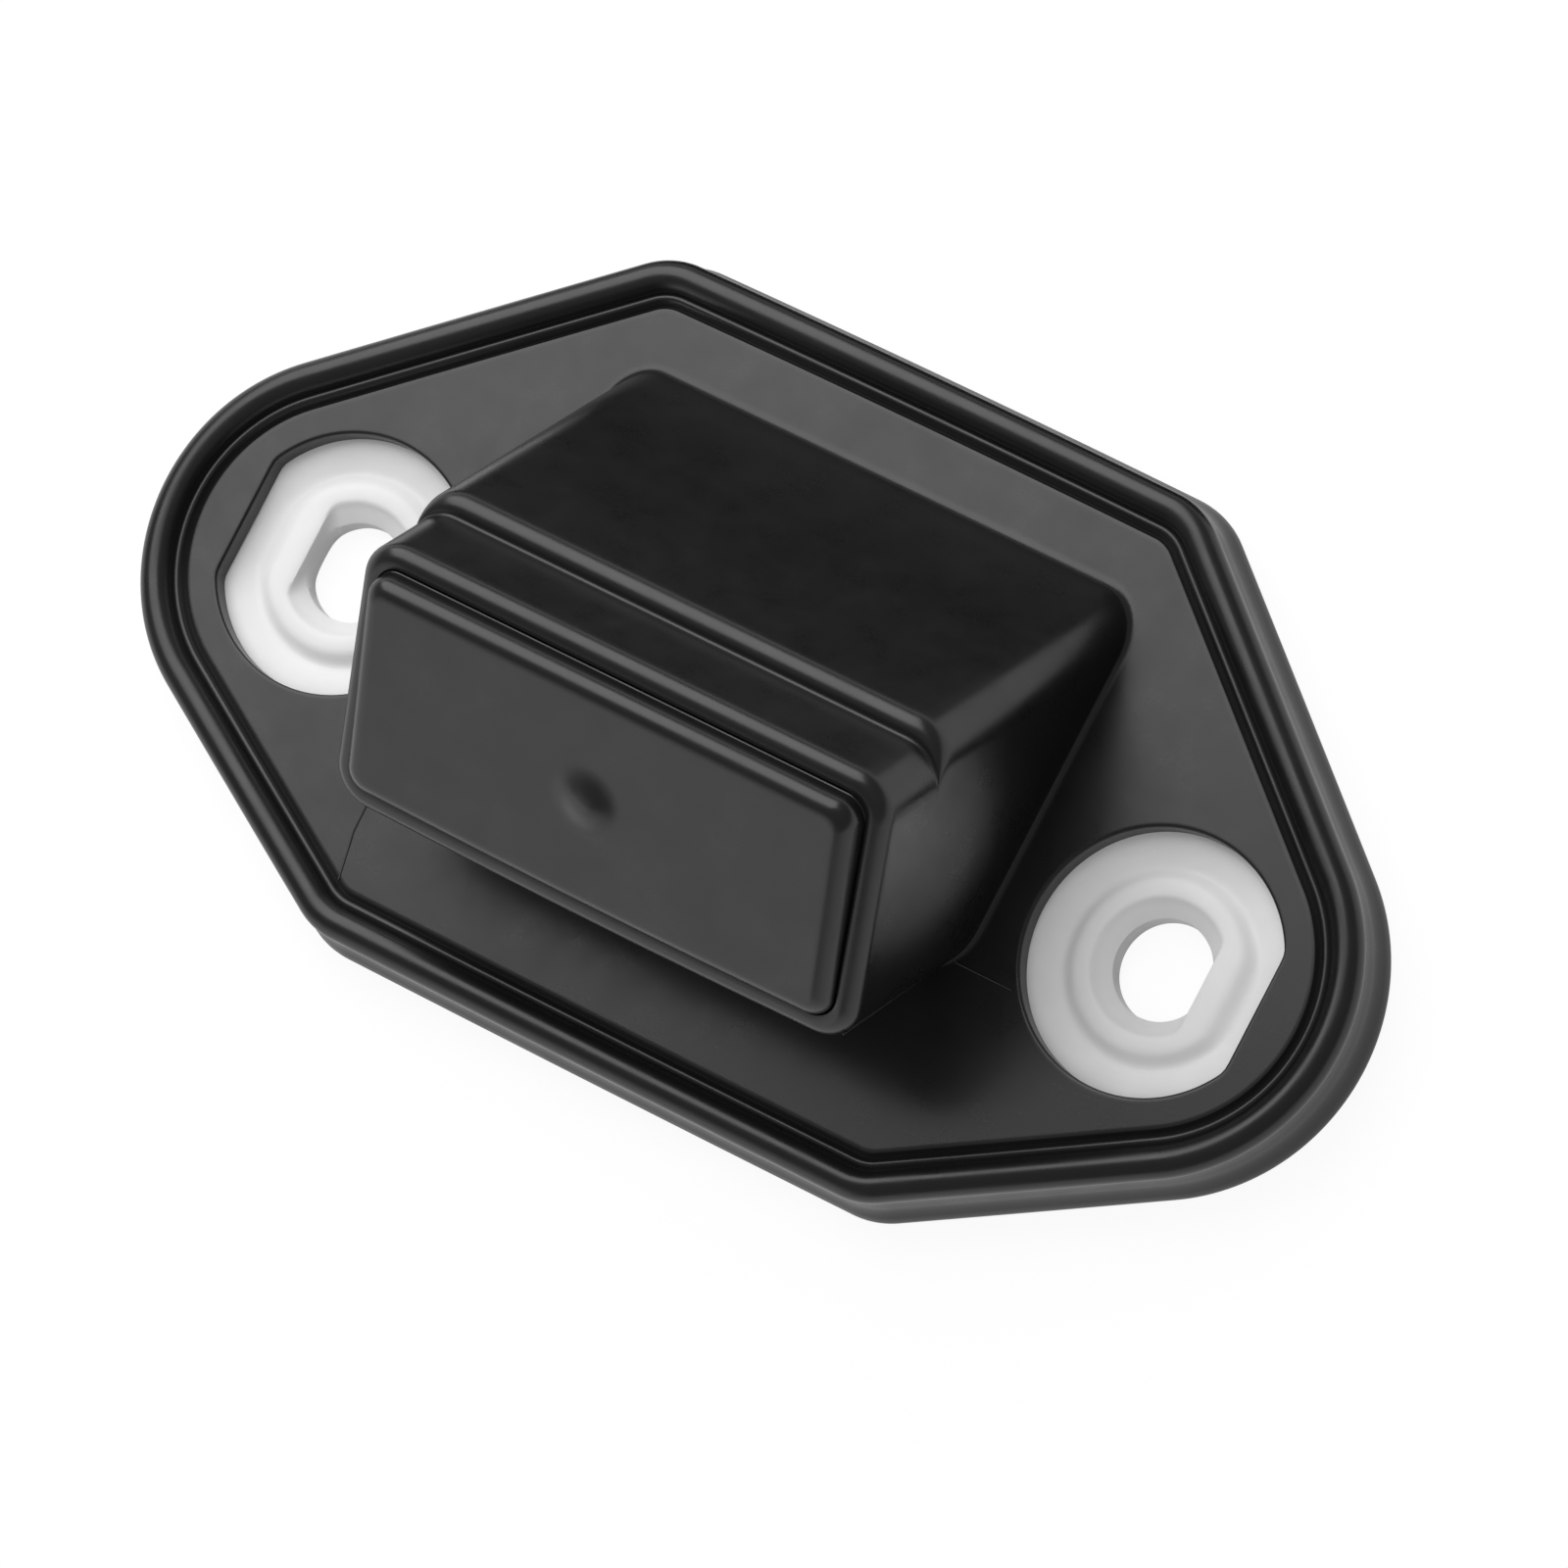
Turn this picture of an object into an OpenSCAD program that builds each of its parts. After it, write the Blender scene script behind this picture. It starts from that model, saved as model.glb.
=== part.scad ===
// Tailgate release push switch. A rubber boot covers a screwed-on plate and a
// leaning block, and the pad in the block's mouth is pressed to open the lid.
// Millimetres. The origin is midway between the two screw holes, in the plane
// of the back face. +X runs along the plate and +Z points away from the panel.

/* [Mounting plate] */
// Distance between the two screw holes
screw_spacing = 60; // [58:0.5:64]
// Radius of the round ends, from the screw hole to the groove inside the bead
end_radius = 10.5; // [10:0.25:12]
// Distance from the screw line to the upper edge's groove
upper_reach = 23.4; // [22.4:0.2:25]
// Distance from the screw line to the lower edge's groove
lower_reach = 18.2; // [17.6:0.2:19.4]
// Slope of the two upper slanted edges
upper_slope = 40; // [37:1:43]
// Slope of the two lower slanted edges
lower_slope = 30; // [28:1:32]
// Rounding of the plate's corners at the groove
corner_radius = 2.5; // [1.5:0.25:3.5]
// Height of the flat field over the back plane
field_height = 4; // [3.8:0.1:4.6]
// Thickness of the rubber over the plate
skin = 1.4; // [1:0.1:1.6]

/* [Sealing bead] */
// How far the skirt's foot stands outside the groove
rim_reach = 3.4; // [3.2:0.1:4]
// Distance from the groove to the middle of the bead
bead_middle = 1.85; // [1.7:0.05:2]
// Radius of the bead's round crest
bead_radius = 1.05; // [0.9:0.05:1.15]
// How far the bead's centre lies under the field
bead_drop = 0.15; // [0:0.05:0.3]
// Height at which the bead meets the flared skirt
foot_height = 2.2; // [1.8:0.1:2.6]
// Depth of the fine groove between field and bead
groove_depth = 0.25; // [0.1:0.05:0.4]
// Distance from the groove to the skirt's inner wall
skirt_inside = 1.7; // [1.5:0.1:1.9]

/* [Screw seats] */
// Radius of the window in the rubber round each screw hole
window_radius = 8.33; // [7.8:0.1:8.8]
// Distance from the screw hole to the window's flat outer side
window_flat = 7.34; // [6.8:0.1:7.6]
// Radius of the screw hole, clearance for a 5.5 mm screw
screw_hole_radius = 3.2; // [3.1:0.05:3.3]
// Distance from the screw hole's axis to its flat outer side
hole_flat = 3; // [2.9:0.05:3.05]
// Radius of the lead-in round the screw hole
lead_in_radius = 4.3; // [4:0.1:4.6]
// Depth of the lead-in
lead_in_depth = 0.9; // [0.6:0.1:1.2]
// Outer radius of the raised ring that the screw bears on
ring_radius = 5.7; // [5.4:0.1:6]
// Distance from the screw hole to the raised ring's flat outer side
ring_flat = 4.9; // [4.6:0.1:5.2]
// Radius of the boss under each seat
boss_radius = 9.4; // [9:0.1:9.8]

/* [Leaning block] */
// Lean of the block from upright, towards the lower edge
lean_angle = 37.3; // [35:0.5:40]
// Distance from the screw line to where the block's top meets the field
block_foot = 19.4; // [19:0.2:20.4]
// Width of the block at its front
block_width = 37.4; // [36.6:0.2:38.4]
// Widening of each side for each millimetre towards the plate
block_draft = 0.01; // [0:0.005:0.015]
// Height of the block, square to its axis
block_height = 20.5; // [20:0.25:21.5]
// Rounding of the block's long edges
block_edge = 2.7; // [2:0.1:3]
// Rounding of the two upper edges in front of the step
lip_edge = 1.8; // [1.6:0.1:2.4]
// Distance along the axis from the foot to the block's front
front_reach = 28.3; // [28:0.1:29]
// Tilt of the front against the axis
front_tilt = 4.2; // [3:0.2:5]
// Distance along the axis to the step in the top
step_reach = 22.2; // [21.8:0.1:22.6]
// Depth of the step in the top
step_depth = 1.7; // [1.4:0.1:1.9]
// Thickness of the rubber round the block
block_skin = 1.6; // [1.4:0.1:1.8]
// Rounding of the mouth's outer edge
mouth_rounding = 0.3; // [0.1:0.05:0.4]

/* [Push pad] */
// Gap between the pad and the mouth, all round
pad_gap = 0.3; // [0.25:0.05:0.4]
// Distance from the block's side to the pad
pad_side_inset = 0.87; // [0.85:0.05:1.2]
// Distance from the stepped top to the pad
pad_top_inset = 1.3; // [1.2:0.1:1.6]
// Distance from the block's underside to the pad
pad_bottom_inset = 2.3; // [2:0.1:2.6]
// Rounding of the pad's corners
pad_corner = 1.5; // [1.3:0.1:2]
// How far the pad stands out of the mouth
pad_stand_out = 1.9; // [1.6:0.1:2.2]
// Rounding of the pad's front edge
pad_edge = 1.2; // [0.8:0.1:1.4]
// Wall of the pad round its carrier
pad_wall = 1.3; // [1.1:0.1:1.5]
// Radius of the shallow dimple in the pad
dimple_radius = 1.65; // [1.4:0.05:2]
// Depth of the dimple
dimple_depth = 0.4; // [0.2:0.05:0.5]
// Sideways place of the dimple
dimple_shift = -0.3; // [-1:0.1:1]
// Distance of the dimple below the pad's middle
dimple_drop = 1.1; // [0.8:0.1:1.4]
// How far the pad travels when pressed
travel = 1.2; // [1:0.1:1.3]

/* [Base frame] */
// Play between the rubber and the frame inside it
skin_play = 0.05; // [0.02:0.01:0.1]
// Play between plastic pieces that fit into each other
part_play = 0.05; // [0.03:0.01:0.1]
// Thickness of the frame's plate
frame_plate = 0.95; // [0.8:0.05:1.05]
// Wall of the tower inside the block
tower_wall = 1.4; // [1.2:0.1:1.5]
// Thickness of the tower's front rim
tower_rim = 1.2; // [1:0.1:1.4]
// Height of the frame's edge over the back plane
frame_lift = 0.2; // [0.1:0.05:0.3]
// Width of the wall along the frame's edge
edge_wall = 1.3; // [1:0.1:1.5]
// Half width of the opening in the tower's rim
rim_opening = 13.4; // [13:0.1:13.8]
// Half height of the opening in the tower's rim
rim_opening_height = 3.7; // [3.4:0.1:4]
// Thickness of the two webs that hold the switch
web = 1.3; // [1.1:0.1:1.5]

/* [Pad carrier] */
// Thickness of the carrier's plate
carrier_plate = 1.55; // [1.3:0.05:1.6]
// Thickness of each snap leg
leg = 1; // [0.8:0.1:1.2]
// Width of each snap leg
leg_width = 4; // [3:0.5:5]
// How far each hook grips behind the rim
hook = 0.6; // [0.4:0.1:0.8]
// Height of each hook
hook_height = 1.1; // [0.9:0.1:1.3]
// Radius of the stem that presses the plunger
stem_radius = 2.5; // [2.2:0.1:3]

/* [Switch] */
// Half width of the switch case
case_half_width = 8; // [7.6:0.1:8.4]
// Height of the switch case, square to the block's axis
case_height = 11.4; // [11:0.1:11.8]
// Distance along the axis from the tower's rim back to the lid
case_setback = 2.2; // [2:0.05:2.4]
// Depth of the case
case_depth = 7; // [6.9:0.1:7.2]
// Wall of the case
case_wall = 1.2; // [1:0.1:1.3]
// Thickness of the lid
lid_thickness = 1.2; // [1.1:0.1:1.3]
// Radius of the plunger
plunger_radius = 2; // [1.8:0.1:2.2]
// How far the plunger stands out of the lid
plunger_stand_out = 1.4; // [1.35:0.05:1.5]
// Running clearance round the plunger
plunger_play = 0.1; // [0.05:0.05:0.15]
// Radius of the plunger's collar
collar_radius = 3.2; // [2.9:0.1:3.4]
// Thickness of the plunger's collar
collar = 1; // [0.8:0.1:1.1]
// Radius of the pin under the collar
spigot_radius = 0.9; // [0.7:0.1:1]
// Outer radius of the seal ring in the lid
seal_radius = 3.3; // [3:0.1:3.6]
// Thickness of the seal ring
seal = 0.7; // [0.5:0.1:0.8]

/* [Contacts] */
// Distance from the plunger's axis to each contact
contact_offset = 4.3; // [4.2:0.1:4.6]
// Radius of a contact head
contact_radius = 1.1; // [0.9:0.1:1.2]
// Height of a contact head
contact_height = 0.5; // [0.4:0.05:0.55]
// Thickness of the bridge bar
bridge = 0.7; // [0.5:0.1:0.8]
// Width of the bridge bar
bridge_width = 2.4; // [2.2:0.1:3]
// Gap that stays between the contacts at full travel
contact_spare = 0.05; // [0.03:0.01:0.1]
// Thickness of the terminal sheet
terminal_sheet = 0.8; // [0.6:0.1:0.8]
// Width of each terminal
terminal_width = 2.2; // [2:0.1:2.6]
// Distance from the screw line to the middle of the blades
blade_line = 7; // [6.9:0.1:7.1]
// Height of the blades' ends over the back plane
blade_end = 1.6; // [1.2:0.1:2]

/* [Return spring] */
// Mean radius of the coil
spring_radius = 1.95; // [1.8:0.05:2.1]
// Thickness of the wire
spring_wire = 0.45; // [0.35:0.05:0.5]
// Number of turns
spring_turns = 4; // [3:1:5]

/* [Rear cover] */
// Thickness of the cover
cover = 1; // [0.8:0.05:1.05]
// Half width of the cover
cover_half_width = 17.9; // [17.7:0.1:18.1]
// Distance from the screw line to the cover's lower edge
cover_low = 3.3; // [3.2:0.1:3.6]
// Distance from the screw line to the cover's upper edge
cover_high = 19.2; // [19:0.1:19.6]
// Width of the gasket
gasket_width = 1.6; // [1.2:0.1:1.7]
// Thickness of the gasket
gasket = 0.4; // [0.3:0.05:0.45]
// Half width of the connector socket's inside
socket_half_width = 6.7; // [6.5:0.1:7]
// Depth of the connector socket
socket_depth = 6; // [5.6:0.1:6]
// Distance from the blades to the socket's lower wall
socket_low = 1.4; // [1.2:0.1:1.5]
// Distance from the blades to the socket's upper wall
socket_high = 4.9; // [4.8:0.1:5]
// Wall of the socket
socket_wall = 1; // [0.8:0.1:1]
// Sideways place of the cover screws
cover_screw_x = 13.4; // [13:0.1:13.8]
// Place of the lower two cover screws
cover_screw_low = 1.5; // [1.3:0.1:1.8]
// Place of the upper two cover screws
cover_screw_high = 12.5; // [12:0.1:12.7]
// Radius of the cover screws
cover_screw_radius = 1.05; // [0.9:0.05:1.15]
// Length of the cover screws
cover_screw_length = 5.4; // [4.5:0.1:5.8]
// Radius of the cover screws' heads
cover_screw_head = 2; // [1.8:0.1:2.1]
// Radius of the screw bosses
cover_boss_radius = 2.5; // [2.3:0.1:2.7]

/* [Hidden] */
$fn = 64;
side = screw_spacing / 2;
under_skin = field_height - skin;
frame_bottom = under_skin - skin_play - frame_plate;
frame_outline = skirt_inside - skin_play;
tilt = tan(front_tilt);
block_half = block_width / 2;
cavity_half = block_half - block_skin;
tower_half = cavity_half - skin_play;
pad_half = block_half - pad_side_inset;
pad_top = step_depth + pad_top_inset;
pad_bottom = block_height - pad_bottom_inset;
pad_middle = (pad_top + pad_bottom) / 2;
pad_face = front_reach + pad_stand_out;
front_at_bottom = front_reach - tilt * block_height;
carrier_back = front_at_bottom - 1.15;
tower_front = carrier_back - travel - part_play;
rim_back = tower_front - tower_rim;
cavity_front = tower_front + skin_play;
carrier_front = carrier_back + carrier_plate;
lid_front = rim_back - case_setback;
lid_back = lid_front - lid_thickness;
case_rear = lid_back - case_depth;
plunger_front = lid_front + plunger_stand_out;
collar_front = lid_back - part_play;
bridge_front = collar_front - collar;
bridge_back = bridge_front - bridge;
heads_back = bridge_back - contact_height;
fixed_heads_front = heads_back - travel - contact_spare;
terminal_front = fixed_heads_front - contact_height;
terminal_back = terminal_front - terminal_sheet;
case_floor = case_rear + case_wall;
case_top = pad_middle - case_height / 2;
case_bottom = pad_middle + case_height / 2;
strip_top = case_top + case_wall + 0.2;
strip_bottom = strip_top + terminal_sheet;
cover_back = frame_bottom - gasket - cover;
socket_roof = cover_back + socket_depth;

// Points of an arc, from angle a to angle b in n steps
function arc_points(centre, r, a, b, n) =
    [for (i = [0 : n]) centre + r * [cos(a + (b - a) * i / n), sin(a + (b - a) * i / n)]];

// Centre of the rounding where a long edge meets a slanted edge, both moved out by d
function corner_centre(reach, slope, d, r) =
    [side + (end_radius + d - r - cos(slope) * (reach + d - r)) / sin(slope), reach + d - r];

// Right half of the plate's outline, moved out by d, with corner rounding r
function half_outline(d, r) = concat(
    [for (p = arc_points(corner_centre(lower_reach, lower_slope, d, r), r, 90, 90 - lower_slope, 5))
        [p.x, -p.y]],
    arc_points([side, 0], end_radius + d, lower_slope - 90, 90 - upper_slope, 22),
    arc_points(corner_centre(upper_reach, upper_slope, d, r), r, 90 - upper_slope, 90, 5));

// Whole outline of the plate, moved out by d
function outline(d) = let (half = half_outline(d, corner_radius + d))
    concat(half, [for (i = [len(half) - 1 : -1 : 0]) [-half[i].x, half[i].y]]);

// Section of the block square to its axis: half width, top, bottom, rounding of the
// lower corners, place on the axis at the top face, tilt, and rounding of the upper corners
function section(half, top, bottom, r, w, t, upper) = let (u = is_undef(upper) ? r : upper) [
    for (p = concat(
        arc_points([half - r, r - bottom], r, -90, 0, 6),
        arc_points([half - u, -top - u], u, 0, 90, 6),
        arc_points([u - half, -top - u], u, 90, 180, 6),
        arc_points([r - half, r - bottom], r, 180, 270, 6)))
    [p.x, p.y, w + t * p.y]];

// A section of the block's outside, pulled in by inset
function outside(top, inset, w, t) = section(
    block_half + block_draft * (front_reach - w) - inset,
    top + inset, block_height - inset, block_edge - inset, w, t,
    block_edge + (lip_edge - block_edge) * top / step_depth - inset);

// Where a point of the leaning block lies in the plane across the plate
function leaned(q, w) = [
    block_foot - q * cos(lean_angle) - w * sin(lean_angle),
    field_height - q * sin(lean_angle) + w * cos(lean_angle)];

// A closed solid through a stack of rings with equal numbers of points
module stack(rings) {
    n = len(rings[0]);
    top = len(rings) - 1;
    polyhedron(
        points = [for (ring = rings, p = ring) p],
        faces = concat(
            [[for (i = [0 : n - 1]) i]],
            [[for (i = [n - 1 : -1 : 0]) top * n + i]],
            [for (k = [0 : top - 1], i = [0 : n - 1])
                [k * n + i, (k + 1) * n + i, (k + 1) * n + (i + 1) % n]],
            [for (k = [0 : top - 1], i = [0 : n - 1])
                [k * n + i, (k + 1) * n + (i + 1) % n, k * n + (i + 1) % n]]));
}

// Places things in the leaning block's own frame: y runs up its section, z out along it
module lean() {
    translate([0, block_foot, field_height])
        rotate([lean_angle, 0, 0])
            children();
}

// A straight bar along the block's axis: half width, top, bottom, back and front
module bar(half, top, bottom, back, front) {
    translate([-half, -bottom, back])
        cube([2 * half, bottom - top, front - back]);
}

// A round bar along the block's axis, centred on the pad
module rod(r, back, front, x = 0) {
    translate([x, -pad_middle, back])
        cylinder(r = r, h = front - back);
}

// Everything above a height
module above(z) {
    translate([-60, -60, z])
        cube([120, 120, 60]);
}

// A round bar with one flat, along +Z, at the left (-1) or right (1) screw hole
module flatted(r, flat, z, h, dir) {
    translate([dir * side, 0, z])
        intersection() {
            cylinder(r = r, h = h);
            translate([dir > 0 ? -2 * r : -flat, -2 * r, 0])
                cube([2 * r + flat, 4 * r, h]);
        }
}

// The plate's edge from the skirt's foot over the bead to the field
rim_profile = concat(
    [[rim_reach, 0], [rim_reach, 0.4], [bead_middle + bead_radius - 0.1, foot_height]],
    [for (a = [-10 : 19 : 180])
        [bead_middle + bead_radius * cos(a), field_height - bead_drop + bead_radius * sin(a)]],
    [[0.55, field_height + 0.12], [0.25, field_height + 0.1], [0, field_height - groove_depth],
        [-0.25, field_height]]);

module boot_plate() {
    stack([for (r = rim_profile) [for (p = outline(r[0])) [p.x, p.y, r[1]]]]);
}

module block_outside() {
    lean()
        stack([
            outside(0, 0, -8, 0),
            outside(0, 0, step_reach, 0),
            outside(0.12 * step_depth, 0, step_reach + 0.3, 0),
            outside(0.4 * step_depth, 0, step_reach + 0.55, 0),
            outside(0.85 * step_depth, 0, step_reach + 0.7, 0),
            outside(step_depth, 0, step_reach + 0.9, 0),
            outside(step_depth, 0, front_reach - mouth_rounding, tilt),
            outside(step_depth, 0.3 * mouth_rounding, front_reach - 0.3 * mouth_rounding, tilt),
            outside(step_depth, mouth_rounding, front_reach, tilt)]);
}

// Inside of the block, pulled in from its skin by inset, from the back to the front
module block_inside(inset, front) {
    half = cavity_half - inset;
    top = block_skin + inset;
    low = block_height - block_skin - inset;
    edge = max(block_edge - block_skin - inset, 0.3);
    lean()
        stack([
            section(half, top, low, edge, -12, 0),
            section(half, top, low, edge, step_reach - 1.4 - inset, 0),
            section(half, top + step_depth, low, edge, step_reach - 0.6 - inset, 0),
            section(half, top + step_depth, low, edge, front, 0)]);
}

module mouth_cut() {
    lean()
        stack([for (w = [cavity_front - 0.01, pad_face + 5])
            section(pad_half + pad_gap, pad_top - pad_gap, pad_bottom + pad_gap,
                pad_corner + pad_gap, w, 0)]);
}

module rubber_boot() {
    color("#26272a")
        difference() {
            union() {
                boot_plate();
                intersection() {
                    block_outside();
                    above(under_skin + 0.1);
                }
            }
            translate([0, 0, -1])
                linear_extrude(under_skin + 1)
                    polygon(outline(skirt_inside));
            block_inside(0, cavity_front);
            mouth_cut();
            for (dir = [-1, 1])
                flatted(window_radius, window_flat, under_skin - 1, 5, dir);
        }
}

// The room that the switch takes in the tower, in the leaning block's frame
module case_room() {
    bar(case_half_width + part_play, case_top - part_play, case_bottom + part_play,
        case_rear - part_play, lid_front + part_play);
}

module tower() {
    difference() {
        block_inside(skin_play, tower_front);
        difference() {
            block_inside(skin_play + tower_wall, rim_back);
            webs();
        }
        lean() {
            bar(rim_opening, pad_middle - rim_opening_height, pad_middle + rim_opening_height,
                rim_back - 1, tower_front + 1);
            case_room();
        }
    }
}

// Two upright walls in the tower that hold the switch case between them
module webs() {
    lean()
        for (dir = [-1, 1]) {
            translate([dir * (case_half_width + part_play + web / 2), 0, 0])
                bar(web / 2, -5, block_height + 5, 7, lid_front + 0.9);
            translate([dir * (case_half_width - 0.4), 0, 0])
                bar(0.7, pad_middle - 3, pad_middle + 3, lid_front + part_play, lid_front + 0.9);
        }
}

module seat(dir) {
    translate([dir * side, 0, 0])
        rotate_extrude()
            polygon([[0, 0], [boss_radius, 0], [boss_radius, under_skin - skin_play],
                [window_radius - 0.4, under_skin - skin_play], [ring_radius + 1, under_skin - 0.5],
                [ring_radius + 0.5, under_skin - 0.75], [0, under_skin - 0.75]]);
    flatted(ring_radius, ring_flat, 0, under_skin + 0.05, dir);
}

module screw_hole(dir) {
    flatted(screw_hole_radius, hole_flat, -1, field_height + 2, dir);
    intersection() {
        translate([dir * side, 0, under_skin + 0.06 - lead_in_depth])
            cylinder(r1 = screw_hole_radius, r2 = lead_in_radius, h = lead_in_depth);
        flatted(lead_in_radius + 1, hole_flat, 0, under_skin + 1, dir);
    }
}

module cover_screw_places() {
    for (dir = [-1, 1], y = [cover_screw_low, cover_screw_high])
        translate([dir * cover_screw_x, y, 0])
            children();
}

module base_frame() {
    color("#f1f0ec")
        difference() {
            union() {
                translate([0, 0, frame_bottom])
                    linear_extrude(frame_plate)
                        polygon(outline(frame_outline));
                translate([0, 0, frame_lift])
                    linear_extrude(frame_bottom - frame_lift + 0.1)
                        difference() {
                            polygon(outline(frame_outline));
                            polygon(outline(frame_outline - edge_wall));
                        }
                seat(-1);
                seat(1);
                intersection() {
                    tower();
                    above(frame_bottom);
                }
                intersection() {
                    cover_screw_places()
                        translate([0, 0, frame_bottom])
                            cylinder(r = cover_boss_radius, h = cover_screw_length - 0.2);
                    block_inside(skin_play, rim_back);
                }
            }
            // the tower is open towards the rear cover
            difference() {
                intersection() {
                    block_inside(skin_play + tower_wall, rim_back - 4);
                    translate([-40, -30, frame_bottom - 0.5])
                        cube([80, 60, frame_plate + 0.6]);
                }
                webs();
                cover_screw_places()
                    cylinder(r = cover_boss_radius, h = 20);
            }
            cover_screw_places()
                translate([0, 0, -1])
                    cylinder(r = cover_screw_radius + part_play, h = cover_back + cover_screw_length + 1.2, $fn = 24);
            screw_hole(-1);
            screw_hole(1);
        }
}

module switch_case() {
    color("#2f4a6d")
        difference() {
            lean()
                difference() {
                    bar(case_half_width, case_top, case_bottom, case_rear, lid_back);
                    bar(case_half_width - case_wall, case_top + case_wall,
                        case_bottom - case_wall, case_floor, lid_back + 1);
                }
            for (dir = [-1, 1])
                terminal(dir, part_play);
        }
}

module switch_lid() {
    color("#3c5f8c")
        lean()
            difference() {
                bar(case_half_width, case_top, case_bottom, lid_back, lid_front);
                rod(plunger_radius + plunger_play, lid_back - 1, lid_front + 1);
                rod(seal_radius, lid_front - seal, lid_front + 1);
            }
}

module plunger_seal() {
    color("#3a3a3a")
        lean()
            difference() {
                rod(seal_radius - part_play, lid_front - seal, lid_front);
                rod(plunger_radius + plunger_play, lid_front - 2, lid_front + 1);
            }
}

// A terminal, grown by the clearance: contact shelf, strip through the case and blade
module terminal(dir, clearance = 0) {
    half = terminal_sheet / 2;
    outer_bend = (block_foot - strip_top * cos(lean_angle) - blade_line - half) / sin(lean_angle);
    inner_bend = (block_foot - strip_bottom * cos(lean_angle) - blade_line + half) / sin(lean_angle);
    shelf_end = pad_middle + contact_radius + 0.2;
    translate([dir * contact_offset - terminal_width / 2 - clearance, 0, 0])
        rotate([90, 0, 90])
            linear_extrude(terminal_width + 2 * clearance)
                offset(delta = clearance)
                    polygon([leaned(shelf_end, terminal_front), leaned(strip_top, terminal_front),
                        leaned(strip_top, outer_bend), [blade_line + half, blade_end],
                        [blade_line - half, blade_end], leaned(strip_bottom, inner_bend),
                        leaned(strip_bottom, terminal_back), leaned(shelf_end, terminal_back)]);
}

module left_terminal() {
    color("#c9a24b")
        terminal(-1);
}

module right_terminal() {
    color("#c9a24b")
        terminal(1);
}

module contact_heads(back) {
    for (dir = [-1, 1])
        rod(contact_radius, back, back + contact_height, dir * contact_offset);
}

module terminal_contacts() {
    color("#d8d8d8")
        lean()
            contact_heads(terminal_front);
}

module rear_cover() {
    color("#1f2022")
        difference() {
            union() {
                translate([-cover_half_width, -cover_low, cover_back])
                    cube([2 * cover_half_width, cover_low + cover_high, cover]);
                translate([-socket_half_width - socket_wall, blade_line - socket_low - socket_wall,
                        cover_back])
                    cube([2 * (socket_half_width + socket_wall),
                        socket_low + socket_high + 2 * socket_wall, socket_depth + socket_wall]);
                // two posts that press the switch case against its stops
                for (x = [-7.2, 5.6])
                    translate([x, 1.2, cover_back])
                        cube([1.6, 1.6, 12]);
            }
            lean()
                case_room();
            translate([-socket_half_width, blade_line - socket_low, cover_back - 1])
                cube([2 * socket_half_width, socket_low + socket_high, socket_depth + 1]);
            for (dir = [-1, 1])
                translate([dir * contact_offset - terminal_width / 2 - part_play,
                        blade_line - terminal_sheet / 2 - part_play, 0])
                    cube([terminal_width + 2 * part_play, terminal_sheet + 2 * part_play, 20]);
            cover_screw_places() {
                cylinder(r = cover_screw_radius + 0.2, h = 10, $fn = 24);
                translate([0, 0, cover_back])
                    cylinder(r1 = cover_screw_head + part_play, r2 = cover_screw_radius + 0.2,
                        h = cover_screw_head - cover_screw_radius - 0.1);
            }
        }
}

module cover_gasket() {
    edge = 0.2;
    color("#4a4a4a")
        translate([0, 0, cover_back + cover])
            linear_extrude(gasket)
                difference() {
                    translate([-cover_half_width + edge, -cover_low + edge])
                        square([2 * (cover_half_width - edge), cover_low + cover_high - 2 * edge]);
                    translate([-cover_half_width + edge + gasket_width, -cover_low + edge + gasket_width])
                        square([2 * (cover_half_width - edge - gasket_width),
                            cover_low + cover_high - 2 * (edge + gasket_width)]);
                }
}

module cover_screws() {
    color("#b9bbbd")
        cover_screw_places()
            difference() {
                translate([0, 0, cover_back])
                    union() {
                        cylinder(r = cover_screw_radius, h = cover_screw_length, $fn = 24);
                        cylinder(r1 = cover_screw_head, r2 = cover_screw_radius,
                            h = cover_screw_head - cover_screw_radius);
                    }
                for (turn = [0, 90])
                    rotate(turn)
                        translate([-1.1, -0.2, cover_back - 1])
                            cube([2.2, 0.4, 1.6]);
            }
}

module push_pad() {
    color("#2d2e31")
        lean()
            difference() {
                stack([
                    section(pad_half, pad_top, pad_bottom, pad_corner, carrier_back, 0),
                    section(pad_half, pad_top, pad_bottom, pad_corner, pad_face - pad_edge, tilt),
                    section(pad_half - 0.13 * pad_edge, pad_top + 0.13 * pad_edge,
                        pad_bottom - 0.13 * pad_edge, pad_corner, pad_face - 0.5 * pad_edge, tilt),
                    section(pad_half - 0.5 * pad_edge, pad_top + 0.5 * pad_edge,
                        pad_bottom - 0.5 * pad_edge, pad_corner, pad_face - 0.13 * pad_edge, tilt),
                    section(pad_half - pad_edge, pad_top + pad_edge,
                        pad_bottom - pad_edge, pad_corner, pad_face, tilt)]);
                bar(pad_half - pad_wall, pad_top + pad_wall, pad_bottom - pad_wall,
                    carrier_back - 1, carrier_front);
                dimple();
            }
}

// A shallow round hollow in the pad's face
module dimple() {
    ball = (dimple_radius * dimple_radius + dimple_depth * dimple_depth) / (2 * dimple_depth);
    q = pad_middle + dimple_drop;
    translate([dimple_shift, -q, pad_face - tilt * q + ball - dimple_depth])
        sphere(r = ball);
}

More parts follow.
